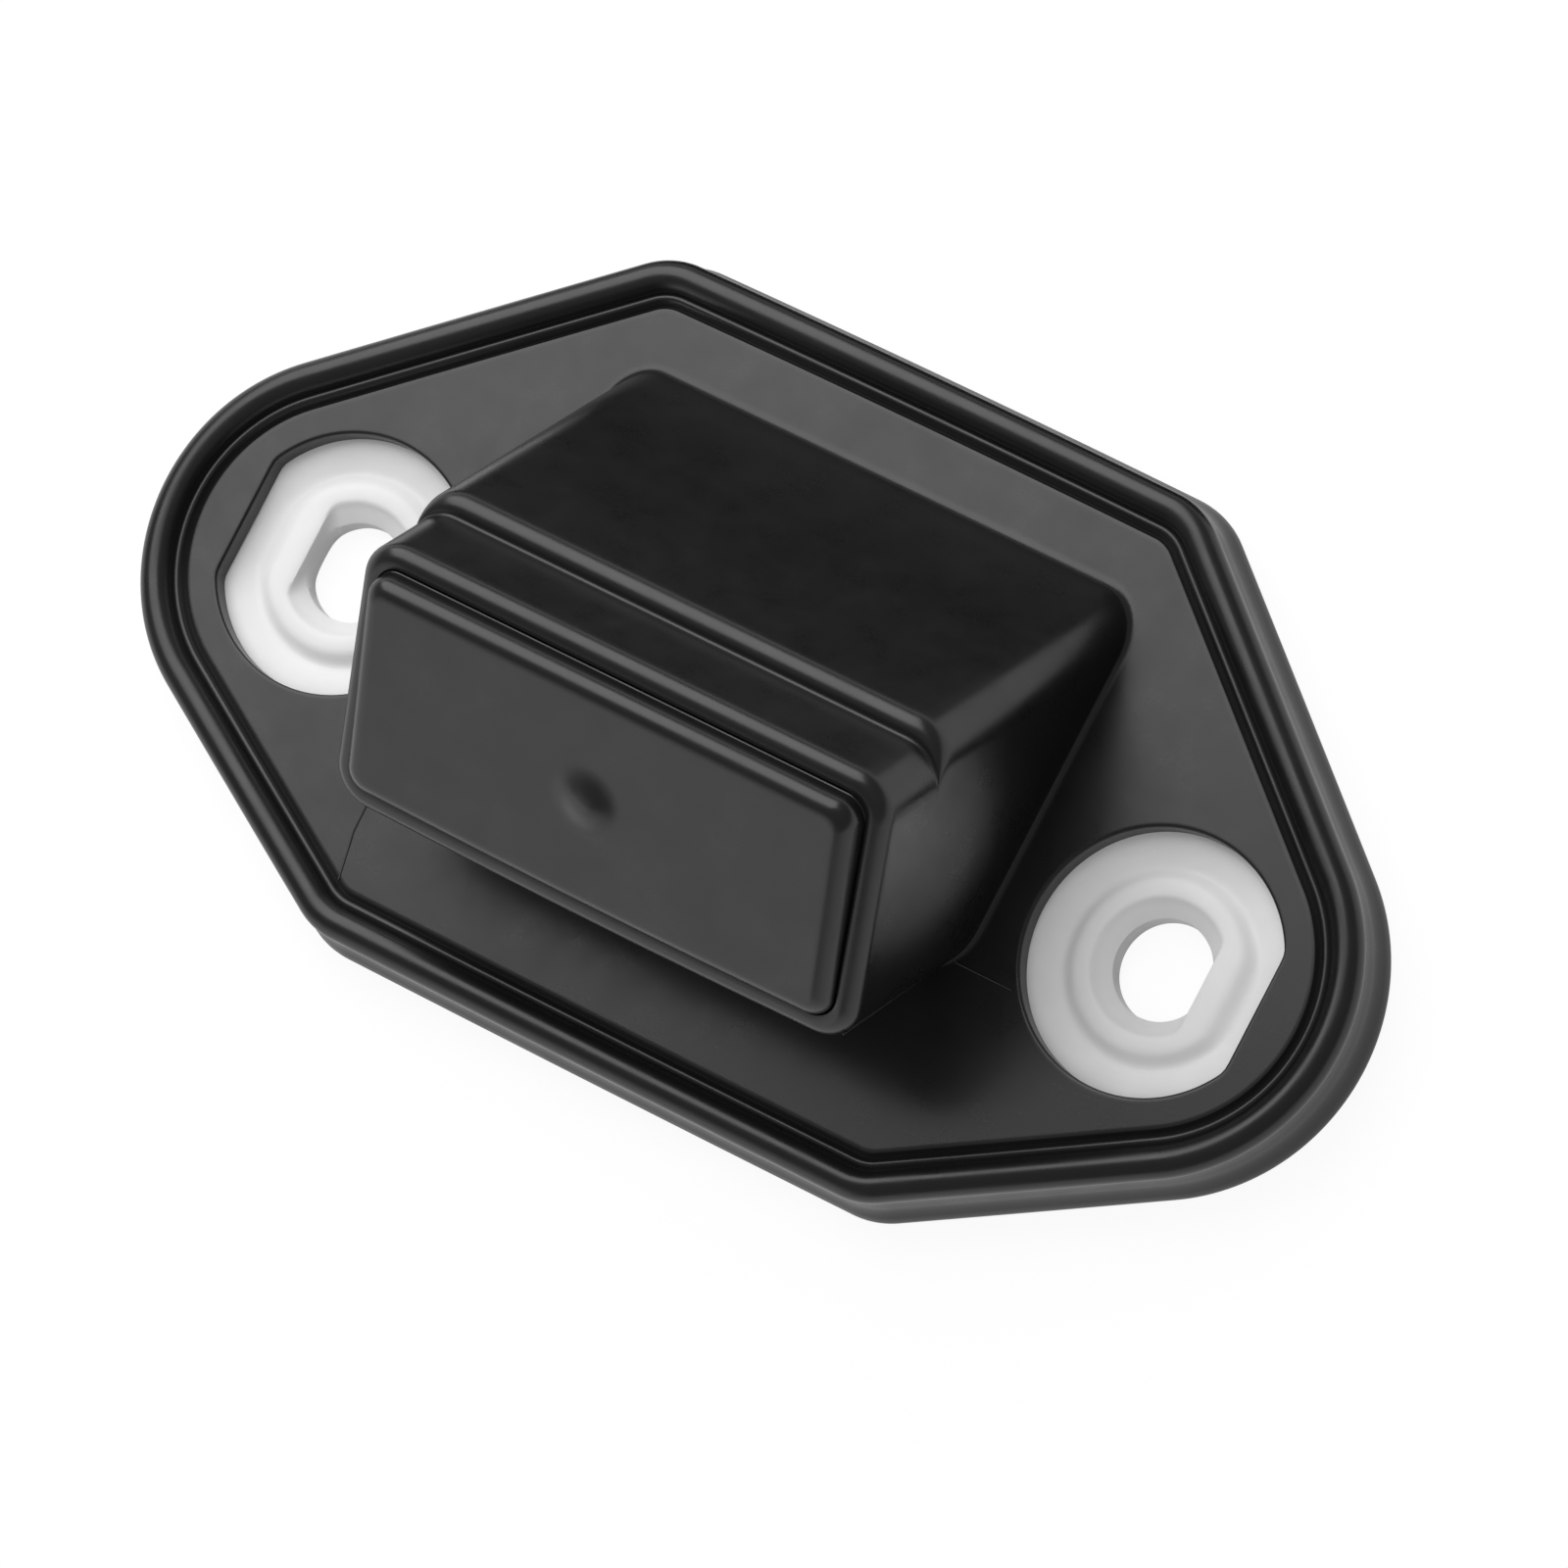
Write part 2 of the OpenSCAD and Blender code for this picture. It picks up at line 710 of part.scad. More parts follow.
module pad_carrier() {
    color("#e4e2dc")
        lean()
            union() {
                bar(pad_half - pad_wall - part_play, pad_top + pad_wall + part_play,
                    pad_bottom - pad_wall - part_play, carrier_back, carrier_front);
                rod(stem_radius, plunger_front, carrier_back + 0.5);
                for (dir = [-1, 1]) {
                    translate([dir * (rim_opening - 0.2 - leg / 2), 0, 0])
                        bar(leg / 2, pad_middle - leg_width / 2, pad_middle + leg_width / 2,
                            rim_back - part_play - hook_height, carrier_back + 0.5);
                    translate([dir * (rim_opening - 0.2 + (hook + 0.2) / 2 - 0.1), 0, 0])
                        bar((hook + 0.4) / 2, pad_middle - leg_width / 2, pad_middle + leg_width / 2,
                            rim_back - part_play - hook_height, rim_back - part_play);
                }
            }
}

module plunger() {
    color("#d9d4c6")
        lean()
            union() {
                rod(plunger_radius, bridge_front, plunger_front);
                rod(collar_radius, bridge_front, collar_front);
                rod(spigot_radius, heads_back - 0.8, bridge_front + 0.1);
            }
}

module contact_bridge() {
    color("#b5793a")
        lean()
            difference() {
                bar(contact_offset + contact_radius + 0.2, pad_middle - bridge_width / 2,
                    pad_middle + bridge_width / 2, bridge_back, bridge_front);
                rod(spigot_radius + part_play, bridge_back - 1, bridge_front + 1);
            }
}

module bridge_contacts() {
    color("#d8d8d8")
        lean()
            contact_heads(heads_back);
}

// A coil of round wire from the case floor to the bridge
module return_spring() {
    rise = bridge_back - case_floor - spring_wire;
    steps = 20 * spring_turns;
    color("#9da0a3")
        lean()
            translate([0, -pad_middle, case_floor + spring_wire / 2])
                stack([for (i = [0 : steps]) let (a = 360 * spring_turns * i / steps)
                    [for (b = [0 : 45 : 315])
                        [(spring_radius + spring_wire / 2 * cos(b)) * cos(a),
                            (spring_radius + spring_wire / 2 * cos(b)) * sin(a),
                            rise * i / steps + spring_wire / 2 * sin(b)]]]);
}

rubber_boot();
base_frame();
switch_case();
switch_lid();
plunger_seal();
left_terminal();
right_terminal();
terminal_contacts();
rear_cover();
cover_gasket();
cover_screws();
push_pad();
pad_carrier();
plunger();
contact_bridge();
bridge_contacts();
return_spring();
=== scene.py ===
"""Dresses the tailgate release switch and sets it in a plain studio.

The classes hold their sizes in millimetres, in the part's own frame: X runs along the
mounting plate, Y across it towards the wide edge, and Z away from the panel behind it.
"""

import logging
import math
from dataclasses import dataclass, field
from enum import Enum
from typing import Any, Iterable, Sequence

import bmesh
import bpy
import numpy as np
from mathutils import Matrix, Vector
from mathutils.geometry import delaunay_2d_cdt

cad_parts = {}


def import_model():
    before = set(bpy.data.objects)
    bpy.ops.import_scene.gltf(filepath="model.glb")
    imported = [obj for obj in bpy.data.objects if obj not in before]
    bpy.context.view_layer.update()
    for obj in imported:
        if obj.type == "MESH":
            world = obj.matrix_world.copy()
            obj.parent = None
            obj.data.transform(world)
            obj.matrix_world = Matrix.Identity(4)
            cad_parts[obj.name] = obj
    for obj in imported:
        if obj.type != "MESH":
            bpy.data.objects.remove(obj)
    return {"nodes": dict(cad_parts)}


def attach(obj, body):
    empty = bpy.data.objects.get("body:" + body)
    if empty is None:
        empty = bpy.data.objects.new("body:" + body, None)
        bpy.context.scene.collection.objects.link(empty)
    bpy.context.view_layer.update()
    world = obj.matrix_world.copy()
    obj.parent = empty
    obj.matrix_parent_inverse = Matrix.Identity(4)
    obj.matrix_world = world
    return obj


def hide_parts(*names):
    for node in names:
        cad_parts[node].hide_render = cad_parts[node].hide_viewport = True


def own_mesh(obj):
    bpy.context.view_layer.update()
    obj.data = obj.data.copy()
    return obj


LOG = logging.getLogger("tailgate_switch")
MM = 0.001
# The span of a noise's values in which a finish drifts from one end of its range to the other
NOISE_SPAN = (0.3, 0.7)
# How near in metres two points of a piece made here lie when they are one
POINT_REACH = 1e-7
# The distance in millimetres to a flat that lies outside its circle, so that the ring is round
NO_FLAT = 60.0


class Body(Enum):
    """The two bodies that the pieces ride on."""

    HOUSING = "housing"
    PUSHER = "pusher"


class Slot(Enum):
    """The record's material slots."""

    BOOT = "boot_rubber"
    PAD = "pad_rubber"
    NYLON = "white_nylon"
    NATURAL = "natural_nylon"
    CASE = "case_plastic"
    SEAL = "seal_rubber"
    COVER = "cover_plastic"
    BRASS = "terminal_brass"
    SILVER = "contact_silver"
    SCREW = "screw_steel"
    SPRING = "spring_steel"


# Finishes


class Sheet:
    """A material built from nodes that feed its surface shader."""

    def __init__(self, name: str) -> None:
        """Makes an empty material with one surface shader.

        Args:
            name: The material's name.
        """
        self.material = bpy.data.materials.new(name)
        self.material.use_nodes = True
        self.tree = self.material.node_tree
        self.tree.nodes.clear()
        self.output = self.tree.nodes.new("ShaderNodeOutputMaterial")
        self.shader = self.tree.nodes.new("ShaderNodeBsdfPrincipled")
        self.tree.links.new(self.shader.outputs[0], self.output.inputs["Surface"])
        self.place = self.tree.nodes.new("ShaderNodeTexCoord").outputs["Object"]

    def node(self, kind: str, inputs: dict[str, Any] | None = None, **settings: Any) -> Any:
        """Adds a node.

        Args:
            kind: The node's type name.
            inputs: Socket name to a value, or to the socket that feeds it.
            **settings: The node's own properties.

        Returns:
            The new node.
        """
        made = self.tree.nodes.new(kind)
        for key, value in settings.items():
            setattr(made, key, value)
        for key, value in (inputs or {}).items():
            self.feed(made.inputs[key], value)
        return made

    def feed(self, socket: Any, value: Any) -> None:
        """Sets a socket to a value, or links another socket to it.

        Args:
            socket: The input socket.
            value: A plain value or an output socket.
        """
        if isinstance(value, bpy.types.NodeSocket):
            self.tree.links.new(value, socket)
        else:
            socket.default_value = value

    def noise(self, grain_mm: float, detail: float = 3.0, rough: float = 0.5) -> Any:
        """Adds a noise whose features are about grain_mm wide.

        Args:
            grain_mm: The width of the noise's features.
            detail: How many finer layers it has.
            rough: The share of each finer layer.

        Returns:
            The noise's value socket.
        """
        made = self.node(
            "ShaderNodeTexNoise",
            {"Vector": self.place, "Scale": 1.0 / (grain_mm * MM), "Detail": detail, "Roughness": rough},
        )
        return made.outputs["Fac"]

    def ramp(self, value: Any, low: float, high: float, to_low: float, to_high: float) -> Any:
        """Maps a value from one range to another.

        Args:
            value: The socket to map.
            low: The start of its range.
            high: The end of its range.
            to_low: The result at the start.
            to_high: The result at the end.

        Returns:
            The mapped value's socket.
        """
        made = self.node(
            "ShaderNodeMapRange",
            {"Value": value, "From Min": low, "From Max": high, "To Min": to_low, "To Max": to_high},
        )
        return made.outputs["Result"]

    def blend(self, share: Any, one: Sequence[float], two: Sequence[float]) -> Any:
        """Blends two colours by a share.

        Args:
            share: The socket with the second colour's share.
            one: The first colour, linear RGB.
            two: The second colour, linear RGB.

        Returns:
            The colour socket.
        """
        made = self.node("ShaderNodeMix", data_type="RGBA")
        self.feed(made.inputs[0], share)
        made.inputs[6].default_value = (*one, 1.0)
        made.inputs[7].default_value = (*two, 1.0)
        return made.outputs[2]

    def tint(self, share: Any, dark: Sequence[float], light: Sequence[float]) -> None:
        """Lets the surface's colour drift between two colours.

        Args:
            share: The noise that it follows.
            dark: The darker colour, linear RGB.
            light: The lighter colour, linear RGB.
        """
        colour = self.blend(self.ramp(share, *NOISE_SPAN, 0.0, 1.0), dark, light)
        self.feed(self.shader.inputs["Base Color"], colour)

    def polish(self, share: Any, roughness: tuple[float, float]) -> None:
        """Lets the surface's roughness follow a noise between two values."""
        self.feed(self.shader.inputs["Roughness"], self.ramp(share, *NOISE_SPAN, *roughness))

    def bump(self, layers: Sequence[tuple[Any, float]]) -> None:
        """Adds bump layers to the surface.

        Args:
            layers: Pairs of a height socket and the height in millimetres.
        """
        normal = None
        for height, size in layers:
            inputs = {"Height": height, "Distance": size * MM, "Strength": 1.0}
            if normal is not None:
                inputs["Normal"] = normal
            normal = self.node("ShaderNodeBump", inputs).outputs["Normal"]
        if normal is not None:
            self.feed(self.shader.inputs["Normal"], normal)


@dataclass(frozen=True)
class MouldedRubber:
    """Satin black rubber: slow tone drift, flow marks and a fine moulded grain."""

    name: str
    dark: tuple[float, float, float] = (0.0070, 0.0070, 0.0071)
    light: tuple[float, float, float] = (0.0100, 0.0100, 0.0101)
    roughness: tuple[float, float] = (0.26, 0.33)
    specular: float = 0.5
    index: float = 1.5
    drift_mm: float = 9.0
    drift_height: float = 0.006
    grain_mm: float = 0.22
    grain_height: float = 0.002

    def make(self) -> bpy.types.Material:
        """Makes the material.

        Returns:
            The finished material.
        """
        sheet = Sheet(self.name)
        drift = sheet.noise(self.drift_mm, 4.0, 0.55)
        cloud = sheet.noise(self.drift_mm * 0.28, 3.0, 0.6)
        sheet.tint(drift, self.dark, self.light)
        sheet.polish(cloud, self.roughness)
        sheet.shader.inputs["Specular IOR Level"].default_value = self.specular
        sheet.shader.inputs["IOR"].default_value = self.index
        sheet.bump(
            [
                (sheet.noise(self.drift_mm * 0.9, 2.0, 0.4), self.drift_height),
                (sheet.noise(self.grain_mm, 4.0, 0.6), self.grain_height),
            ]
        )
        return sheet.material


@dataclass(frozen=True)
class MouldedPlastic:
    """Matt moulded plastic with a fine grain and a faint drift of tone."""

    name: str
    dark: tuple[float, float, float]
    light: tuple[float, float, float]
    roughness: tuple[float, float] = (0.42, 0.55)
    specular: float = 0.45
    through: float = 0.0
    through_reach: tuple[float, float, float] = (0.0012, 0.0011, 0.0010)
    drift_mm: float = 6.0
    cloud_mm: float = 1.6
    wave_mm: float = 3.5
    wave_height: float = 0.01
    grain_mm: float = 0.18
    grain_height: float = 0.003

    def make(self) -> bpy.types.Material:
        """Makes the material.

        Returns:
            The finished material.
        """
        sheet = Sheet(self.name)
        drift = sheet.noise(self.drift_mm, 4.0, 0.55)
        sheet.tint(drift, self.dark, self.light)
        sheet.polish(sheet.noise(self.cloud_mm), self.roughness)
        sheet.shader.inputs["Specular IOR Level"].default_value = self.specular
        if self.through:
            sheet.shader.inputs["Subsurface Weight"].default_value = self.through
            sheet.shader.inputs["Subsurface Radius"].default_value = self.through_reach
            sheet.shader.inputs["Subsurface Scale"].default_value = 1.0
        sheet.bump(
            [
                (sheet.noise(self.wave_mm, 2.0), self.wave_height),
                (sheet.noise(self.grain_mm, 4.0, 0.6), self.grain_height),
            ]
        )
        return sheet.material


@dataclass(frozen=True)
class WorkedMetal:
    """Plated or drawn metal with fine lines along one axis."""

    name: str
    dark: tuple[float, float, float]
    light: tuple[float, float, float]
    roughness: tuple[float, float] = (0.22, 0.38)
    drift_mm: float = 2.5
    line_mm: float = 0.12
    line_squeeze: float = 0.06
    line_height: float = 0.002

    def make(self) -> bpy.types.Material:
        """Makes the material.

        Returns:
            The finished material.
        """
        sheet = Sheet(self.name)
        squeeze = (1.0, 1.0, self.line_squeeze)
        stretched = sheet.node("ShaderNodeMapping", {"Vector": sheet.place, "Scale": squeeze})
        lines = sheet.node(
            "ShaderNodeTexNoise",
            {"Vector": stretched.outputs[0], "Scale": 1.0 / (self.line_mm * MM), "Detail": 3.0},
        ).outputs["Fac"]
        sheet.tint(sheet.noise(self.drift_mm), self.dark, self.light)
        sheet.polish(lines, self.roughness)
        sheet.shader.inputs["Metallic"].default_value = 1.0
        sheet.bump([(lines, self.line_height)])
        return sheet.material


# Mesh making


class MeshDraft:
    """Collects rings of points, in millimetres, and the faces between them."""

    def __init__(self) -> None:
        """Starts with no points and no faces."""
        self.points: list[tuple[float, float, float]] = []
        self.faces: list[tuple[int, ...]] = []

    def ring(self, points: np.ndarray) -> list[int]:
        """Adds a closed ring of points.

        Args:
            points: The points, one row each.

        Returns:
            Their numbers in the draft.
        """
        first = len(self.points)
        self.points.extend(tuple(float(c) for c in row) for row in points)
        return list(range(first, len(self.points)))

    def bridge(self, one: Sequence[int], two: Sequence[int]) -> None:
        """Joins two rings of the same length with four-sided faces.

        Args:
            one: The first ring's point numbers.
            two: The second ring's point numbers.
        """
        count = len(one)
        for i in range(count):
            j = (i + 1) % count
            self.faces.append((one[i], one[j], two[j], two[i]))

    def loft(self, rings: Iterable[np.ndarray]) -> tuple[list[int], list[int]]:
        """Joins rings one after another.

        Args:
            rings: The rings in order, all with the same number of points.

        Returns:
            The first and the last ring's point numbers.
        """
        made = [self.ring(r) for r in rings]
        for one, two in zip(made, made[1:]):
            self.bridge(one, two)
        return made[0], made[-1]

    def fill(
        self,
        outer: Sequence[int],
        holes: Sequence[Sequence[int]] = (),
        u: Sequence[float] = (1, 0, 0),
        v: Sequence[float] = (0, 1, 0),
    ) -> None:
        """Fills the flat region inside one ring and outside others.

        Args:
            outer: The outer ring's point numbers.
            holes: The rings round the holes.
            u: The direction of the region's first axis.
            v: The direction of its second axis.
        """
        loops = [list(outer), *[list(h) for h in holes]]
        numbers = [i for loop in loops for i in loop]
        corner = np.array([self.points[i] for i in numbers])
        flat = np.c_[corner @ np.array(u, float), corner @ np.array(v, float)]
        edges: list[tuple[int, int]] = []
        outlines: list[np.ndarray] = []
        start = 0
        for loop in loops:
            count = len(loop)
            edges += [(start + k, start + (k + 1) % count) for k in range(count)]
            outlines.append(flat[start : start + count])
            start += count
        made = delaunay_2d_cdt([Vector(p) for p in flat], edges, [], 0, POINT_REACH)
        spots, triangles, origin = made[0], made[2], made[3]
        for triangle in triangles:
            middle = sum((spots[k] for k in triangle), Vector((0, 0))) / 3
            if not inside(middle, outlines[0]):
                continue
            if any(inside(middle, hole) for hole in outlines[1:]):
                continue
            self.faces.append(tuple(numbers[origin[k][0]] for k in triangle))

    def make(self, name: str, sharp: float = 38.0) -> bpy.types.Object:
        """Makes the object.

        Args:
            name: The object's name.
            sharp: The angle in degrees above which an edge stays sharp.

        Returns:
            The new object, with its normals pointing out.
        """
        mesh = bpy.data.meshes.new(name)
        mesh.from_pydata([tuple(c * MM for c in p) for p in self.points], [], self.faces)
        work = bmesh.new()
        work.from_mesh(mesh)
        bmesh.ops.remove_doubles(work, verts=work.verts, dist=POINT_REACH)
        bmesh.ops.recalc_face_normals(work, faces=work.faces)
        work.to_mesh(mesh)
        work.free()
        smooth(mesh, sharp)
        made = bpy.data.objects.new(name, mesh)
        bpy.context.scene.collection.objects.link(made)
        return made


def inside(spot: Vector, outline: np.ndarray) -> bool:
    """Tells whether a point of a plane lies inside a closed outline.

    Args:
        spot: The point.
        outline: The outline's points, one row each.

    Returns:
        True if it does.
    """
    x, y = spot.x, spot.y
    a, b = outline, np.roll(outline, -1, axis=0)
    crosses = (a[:, 1] > y) != (b[:, 1] > y)
    with np.errstate(divide="ignore", invalid="ignore"):
        where = a[:, 0] + (y - a[:, 1]) * (b[:, 0] - a[:, 0]) / (b[:, 1] - a[:, 1])
    return bool(np.count_nonzero(crosses & (where > x)) % 2)


def smooth(mesh: bpy.types.Mesh, sharp: float) -> None:
    """Shades a mesh smoothly apart from its sharp edges.

    Args:
        mesh: The mesh.
        sharp: The angle in degrees above which an edge stays sharp.
    """
    mesh.polygons.foreach_set("use_smooth", [True] * len(mesh.polygons))
    mesh.set_sharp_from_angle(angle=math.radians(sharp))


def weld(mesh: bpy.types.Mesh, reach: float) -> None:
    """Joins the points of a mesh that lie on each other.

    Args:
        mesh: The mesh.
        reach: How far apart in metres two points may be to count as one.
    """
    work = bmesh.new()
    work.from_mesh(mesh)
    bmesh.ops.remove_doubles(work, verts=work.verts, dist=reach)
    work.to_mesh(mesh)
    work.free()


def arc(centre: Sequence[float], radius: float, start: float, end: float, steps: int) -> np.ndarray:
    """Points of an arc.

    Args:
        centre: The arc's centre.
        radius: Its radius.
        start: Its first angle in degrees.
        end: Its last angle in degrees.
        steps: The number of steps between its points.

    Returns:
        The points, one row each.
    """
    turn = np.radians(np.linspace(start, end, steps + 1))
    return np.c_[centre[0] + radius * np.cos(turn), centre[1] + radius * np.sin(turn)]


def between(one: np.ndarray, two: np.ndarray, steps: int, crown: float = 0.01) -> np.ndarray:
    """Points strictly between two points, on a line that bulges a little to its right.

    Args:
        one: The first point.
        two: The second point.
        steps: The number of steps from one to the other.
        crown: How far the line's middle bulges.

    Returns:
        The points, one row each.
    """
    share = np.linspace(0, 1, steps + 1)[1:-1, None]
    along = (two - one) / np.linalg.norm(two - one)
    out = np.array([along[1], -along[0]])
    return one * (1 - share) + two * share + out * 4 * crown * share * (1 - share)


def bend(one: np.ndarray, corner: np.ndarray, two: np.ndarray, steps: int) -> list[np.ndarray]:
    """Rings of a rounding that leaves one ring, turns at a corner ring and ends on another.

    Args:
        one: The ring where the rounding starts.
        corner: The ring where the two surfaces would meet.
        two: The ring where it ends.
        steps: The number of steps.

    Returns:
        The rings, with both ends.
    """
    return [
        (1 - t) ** 2 * one + 2 * t * (1 - t) * corner + t * t * two
        for t in np.linspace(0, 1, steps + 1)
    ]


def rounded_box(
    half: float, top: float, bottom: float, corner: float, sag: float = 0.01
) -> np.ndarray:
    """A rounded rectangle in the leaning block's section.

    Args:
        half: Half its width.
        top: The depth of its upper side under the block's top face.
        bottom: The depth of its lower side.
        corner: The rounding of its corners.
        sag: How far the middle of its lower side hangs out.

    Returns:
        Points of x and depth, one row each, always the same number.
    """
    parts: list[np.ndarray] = []
    low, high = -bottom, -top
    arcs = [
        arc((half - corner, low + corner), corner, -90, 0, 12),
        arc((half - corner, high - corner), corner, 0, 90, 12),
        arc((corner - half, high - corner), corner, 90, 180, 12),
        arc((corner - half, low + corner), corner, 180, 270, 12),
    ]
    for k, part in enumerate(arcs):
        parts.append(part)
        crown = sag if k == 3 else 0.01
        parts.append(between(part[-1], arcs[(k + 1) % 4][0], 14 if k % 2 == 0 else 30, crown))
    ring = np.concatenate(parts)
    return np.c_[ring[:, 0], -ring[:, 1]]


def flatted_ring(
    centre_x: float, radius: float, flat: float, height: float, steepness: float = 6.0
) -> np.ndarray:
    """A circle with one flat on its outer side, as a level ring.

    Args:
        centre_x: The x of its centre, whose sign says which side is the outer one.
        radius: Its radius.
        flat: The distance from its centre to the flat.
        height: The ring's height.
        steepness: How tightly the flat's ends are rounded, per millimetre.

    Returns:
        The ring's points, one row each.
    """
    turn = np.radians(np.arange(0, 360, 2.5))
    ahead = np.cos(turn)
    least, far, base = 0.05, radius + 50, 4  # base keeps the exponentials in a safe range
    chord = np.where(ahead > least, flat / np.maximum(ahead, least), far)
    both = np.exp(-steepness * (radius - base)) + np.exp(-steepness * (chord - base))
    reach = -np.log(both) / steepness + base
    side = math.copysign(1.0, centre_x)
    return np.c_[centre_x + side * reach * ahead, reach * np.sin(turn), np.full(turn.size, height)]


# The switch's own shapes


@dataclass(frozen=True)
class PlateOutline:
    """The line of the groove inside the sealing bead, and lines parallel to it."""

    half_spacing: float = 30.0
    end_radius: float = 10.5
    upper_reach: float = 23.4
    lower_reach: float = 18.2
    upper_slope: float = 40.0
    lower_slope: float = 30.0
    corner: float = 2.5
    upper_crown: float = 0.12
    lower_crown: float = 0.05

    def corner_centre(self, reach: float, slope: float) -> tuple[float, float]:
        """Where a corner's rounding has its centre.

        Args:
            reach: The distance from the screw line to the long edge.
            slope: The slanted edge's slope in degrees.

        Returns:
            The centre's x and its distance from the screw line.
        """
        turn = math.radians(slope)
        level = reach - self.corner
        x = self.half_spacing + (self.end_radius - self.corner - math.cos(turn) * level) / math.sin(turn)
        return x, level

    def ring(self, out: float, height: float) -> np.ndarray:
        """The line moved out, as a level ring.

        Args:
            out: How far it is moved out.
            height: The ring's height.

        Returns:
            The ring's points, one row each.
        """
        radius = self.corner + out
        lower = self.corner_centre(self.lower_reach, self.lower_slope)
        upper = self.corner_centre(self.upper_reach, self.upper_slope)
        low_turn, high_turn = self.lower_slope - 90, 90 - self.upper_slope
        arcs = [
            arc((lower[0], -lower[1]), radius, -90, low_turn, 10),
            arc((self.half_spacing, 0), self.end_radius + out, low_turn, high_turn, 56),
            arc(upper, radius, high_turn, 90, 10),
        ]
        half = np.concatenate(
            [
                arcs[0],
                between(arcs[0][-1], arcs[1][0], 12),
                arcs[1],
                between(arcs[1][-1], arcs[2][0], 16),
                arcs[2],
            ]
        )
        other = half[::-1] * (-1, 1)
        upper_edge = between(half[-1], other[0], 26, self.upper_crown)
        lower_edge = between(other[-1], half[0], 26, self.lower_crown)
        ring = np.concatenate([half, upper_edge, other, lower_edge])
        return np.c_[ring, np.full(len(ring), height)]


@dataclass(frozen=True)
class LeaningBlock:
    """The leaning block's frame: x, depth under its top face, and distance along its axis."""

    lean: float = 37.3
    foot: float = 19.4
    field_height: float = 4.0
    half: float = 19.1
    height: float = 20.4
    edge: float = 2.75
    front: float = 28.90
    lip_tilt: float = 3.47
    lip_sag: float = 0.2
    pad_half: float = 17.68
    pad_top: float = 2.77
    pad_bottom: float = 18.62
    pad_corner: float = 1.5
    pad_gap: float = 0.2
    side_gap: float = 0.08
    pad_face: float = 30.89
    pad_tilt: float = 6.2

    def axis(self) -> np.ndarray:
        """The unit vector along the block's axis, out of the panel."""
        turn = math.radians(self.lean)
        return np.array([0.0, -math.sin(turn), math.cos(turn)])

    def place(self, section: np.ndarray, along: np.ndarray | float, tilt: float = 0.0) -> np.ndarray:
        """Puts a section's points into the part's frame.

        Args:
            section: Points of x and depth.
            along: Their distance along the axis at the top face.
            tilt: The section's tilt against the axis, in degrees.

        Returns:
            The points in the part's frame.
        """
        turn = math.radians(self.lean)
        x, depth = section[:, 0], section[:, 1]
        w = along - math.tan(math.radians(tilt)) * depth
        y = self.foot - depth * math.cos(turn) - w * math.sin(turn)
        z = self.field_height - depth * math.sin(turn) + w * math.cos(turn)
        return np.c_[x, y, z + 0 * x]

    def level(self, section: np.ndarray, height: float) -> np.ndarray:
        """The distance along the axis at which each point of a section has a height."""
        turn = math.radians(self.lean)
        return (section[:, 1] * math.sin(turn) + height - self.field_height) / math.cos(turn)

    def outside(self, top: float = 0.0, inset: float = 0.0, sag: float = 0.01) -> np.ndarray:
        """A section of the block's outside.

        Args:
            top: How deep the top lies under the top face.
            inset: How far the section is pulled in.
            sag: How far the middle of its lower side hangs out.

        Returns:
            Points of x and depth.
        """
        return rounded_box(self.half - inset, top + inset, self.height - inset, self.edge - inset, sag)


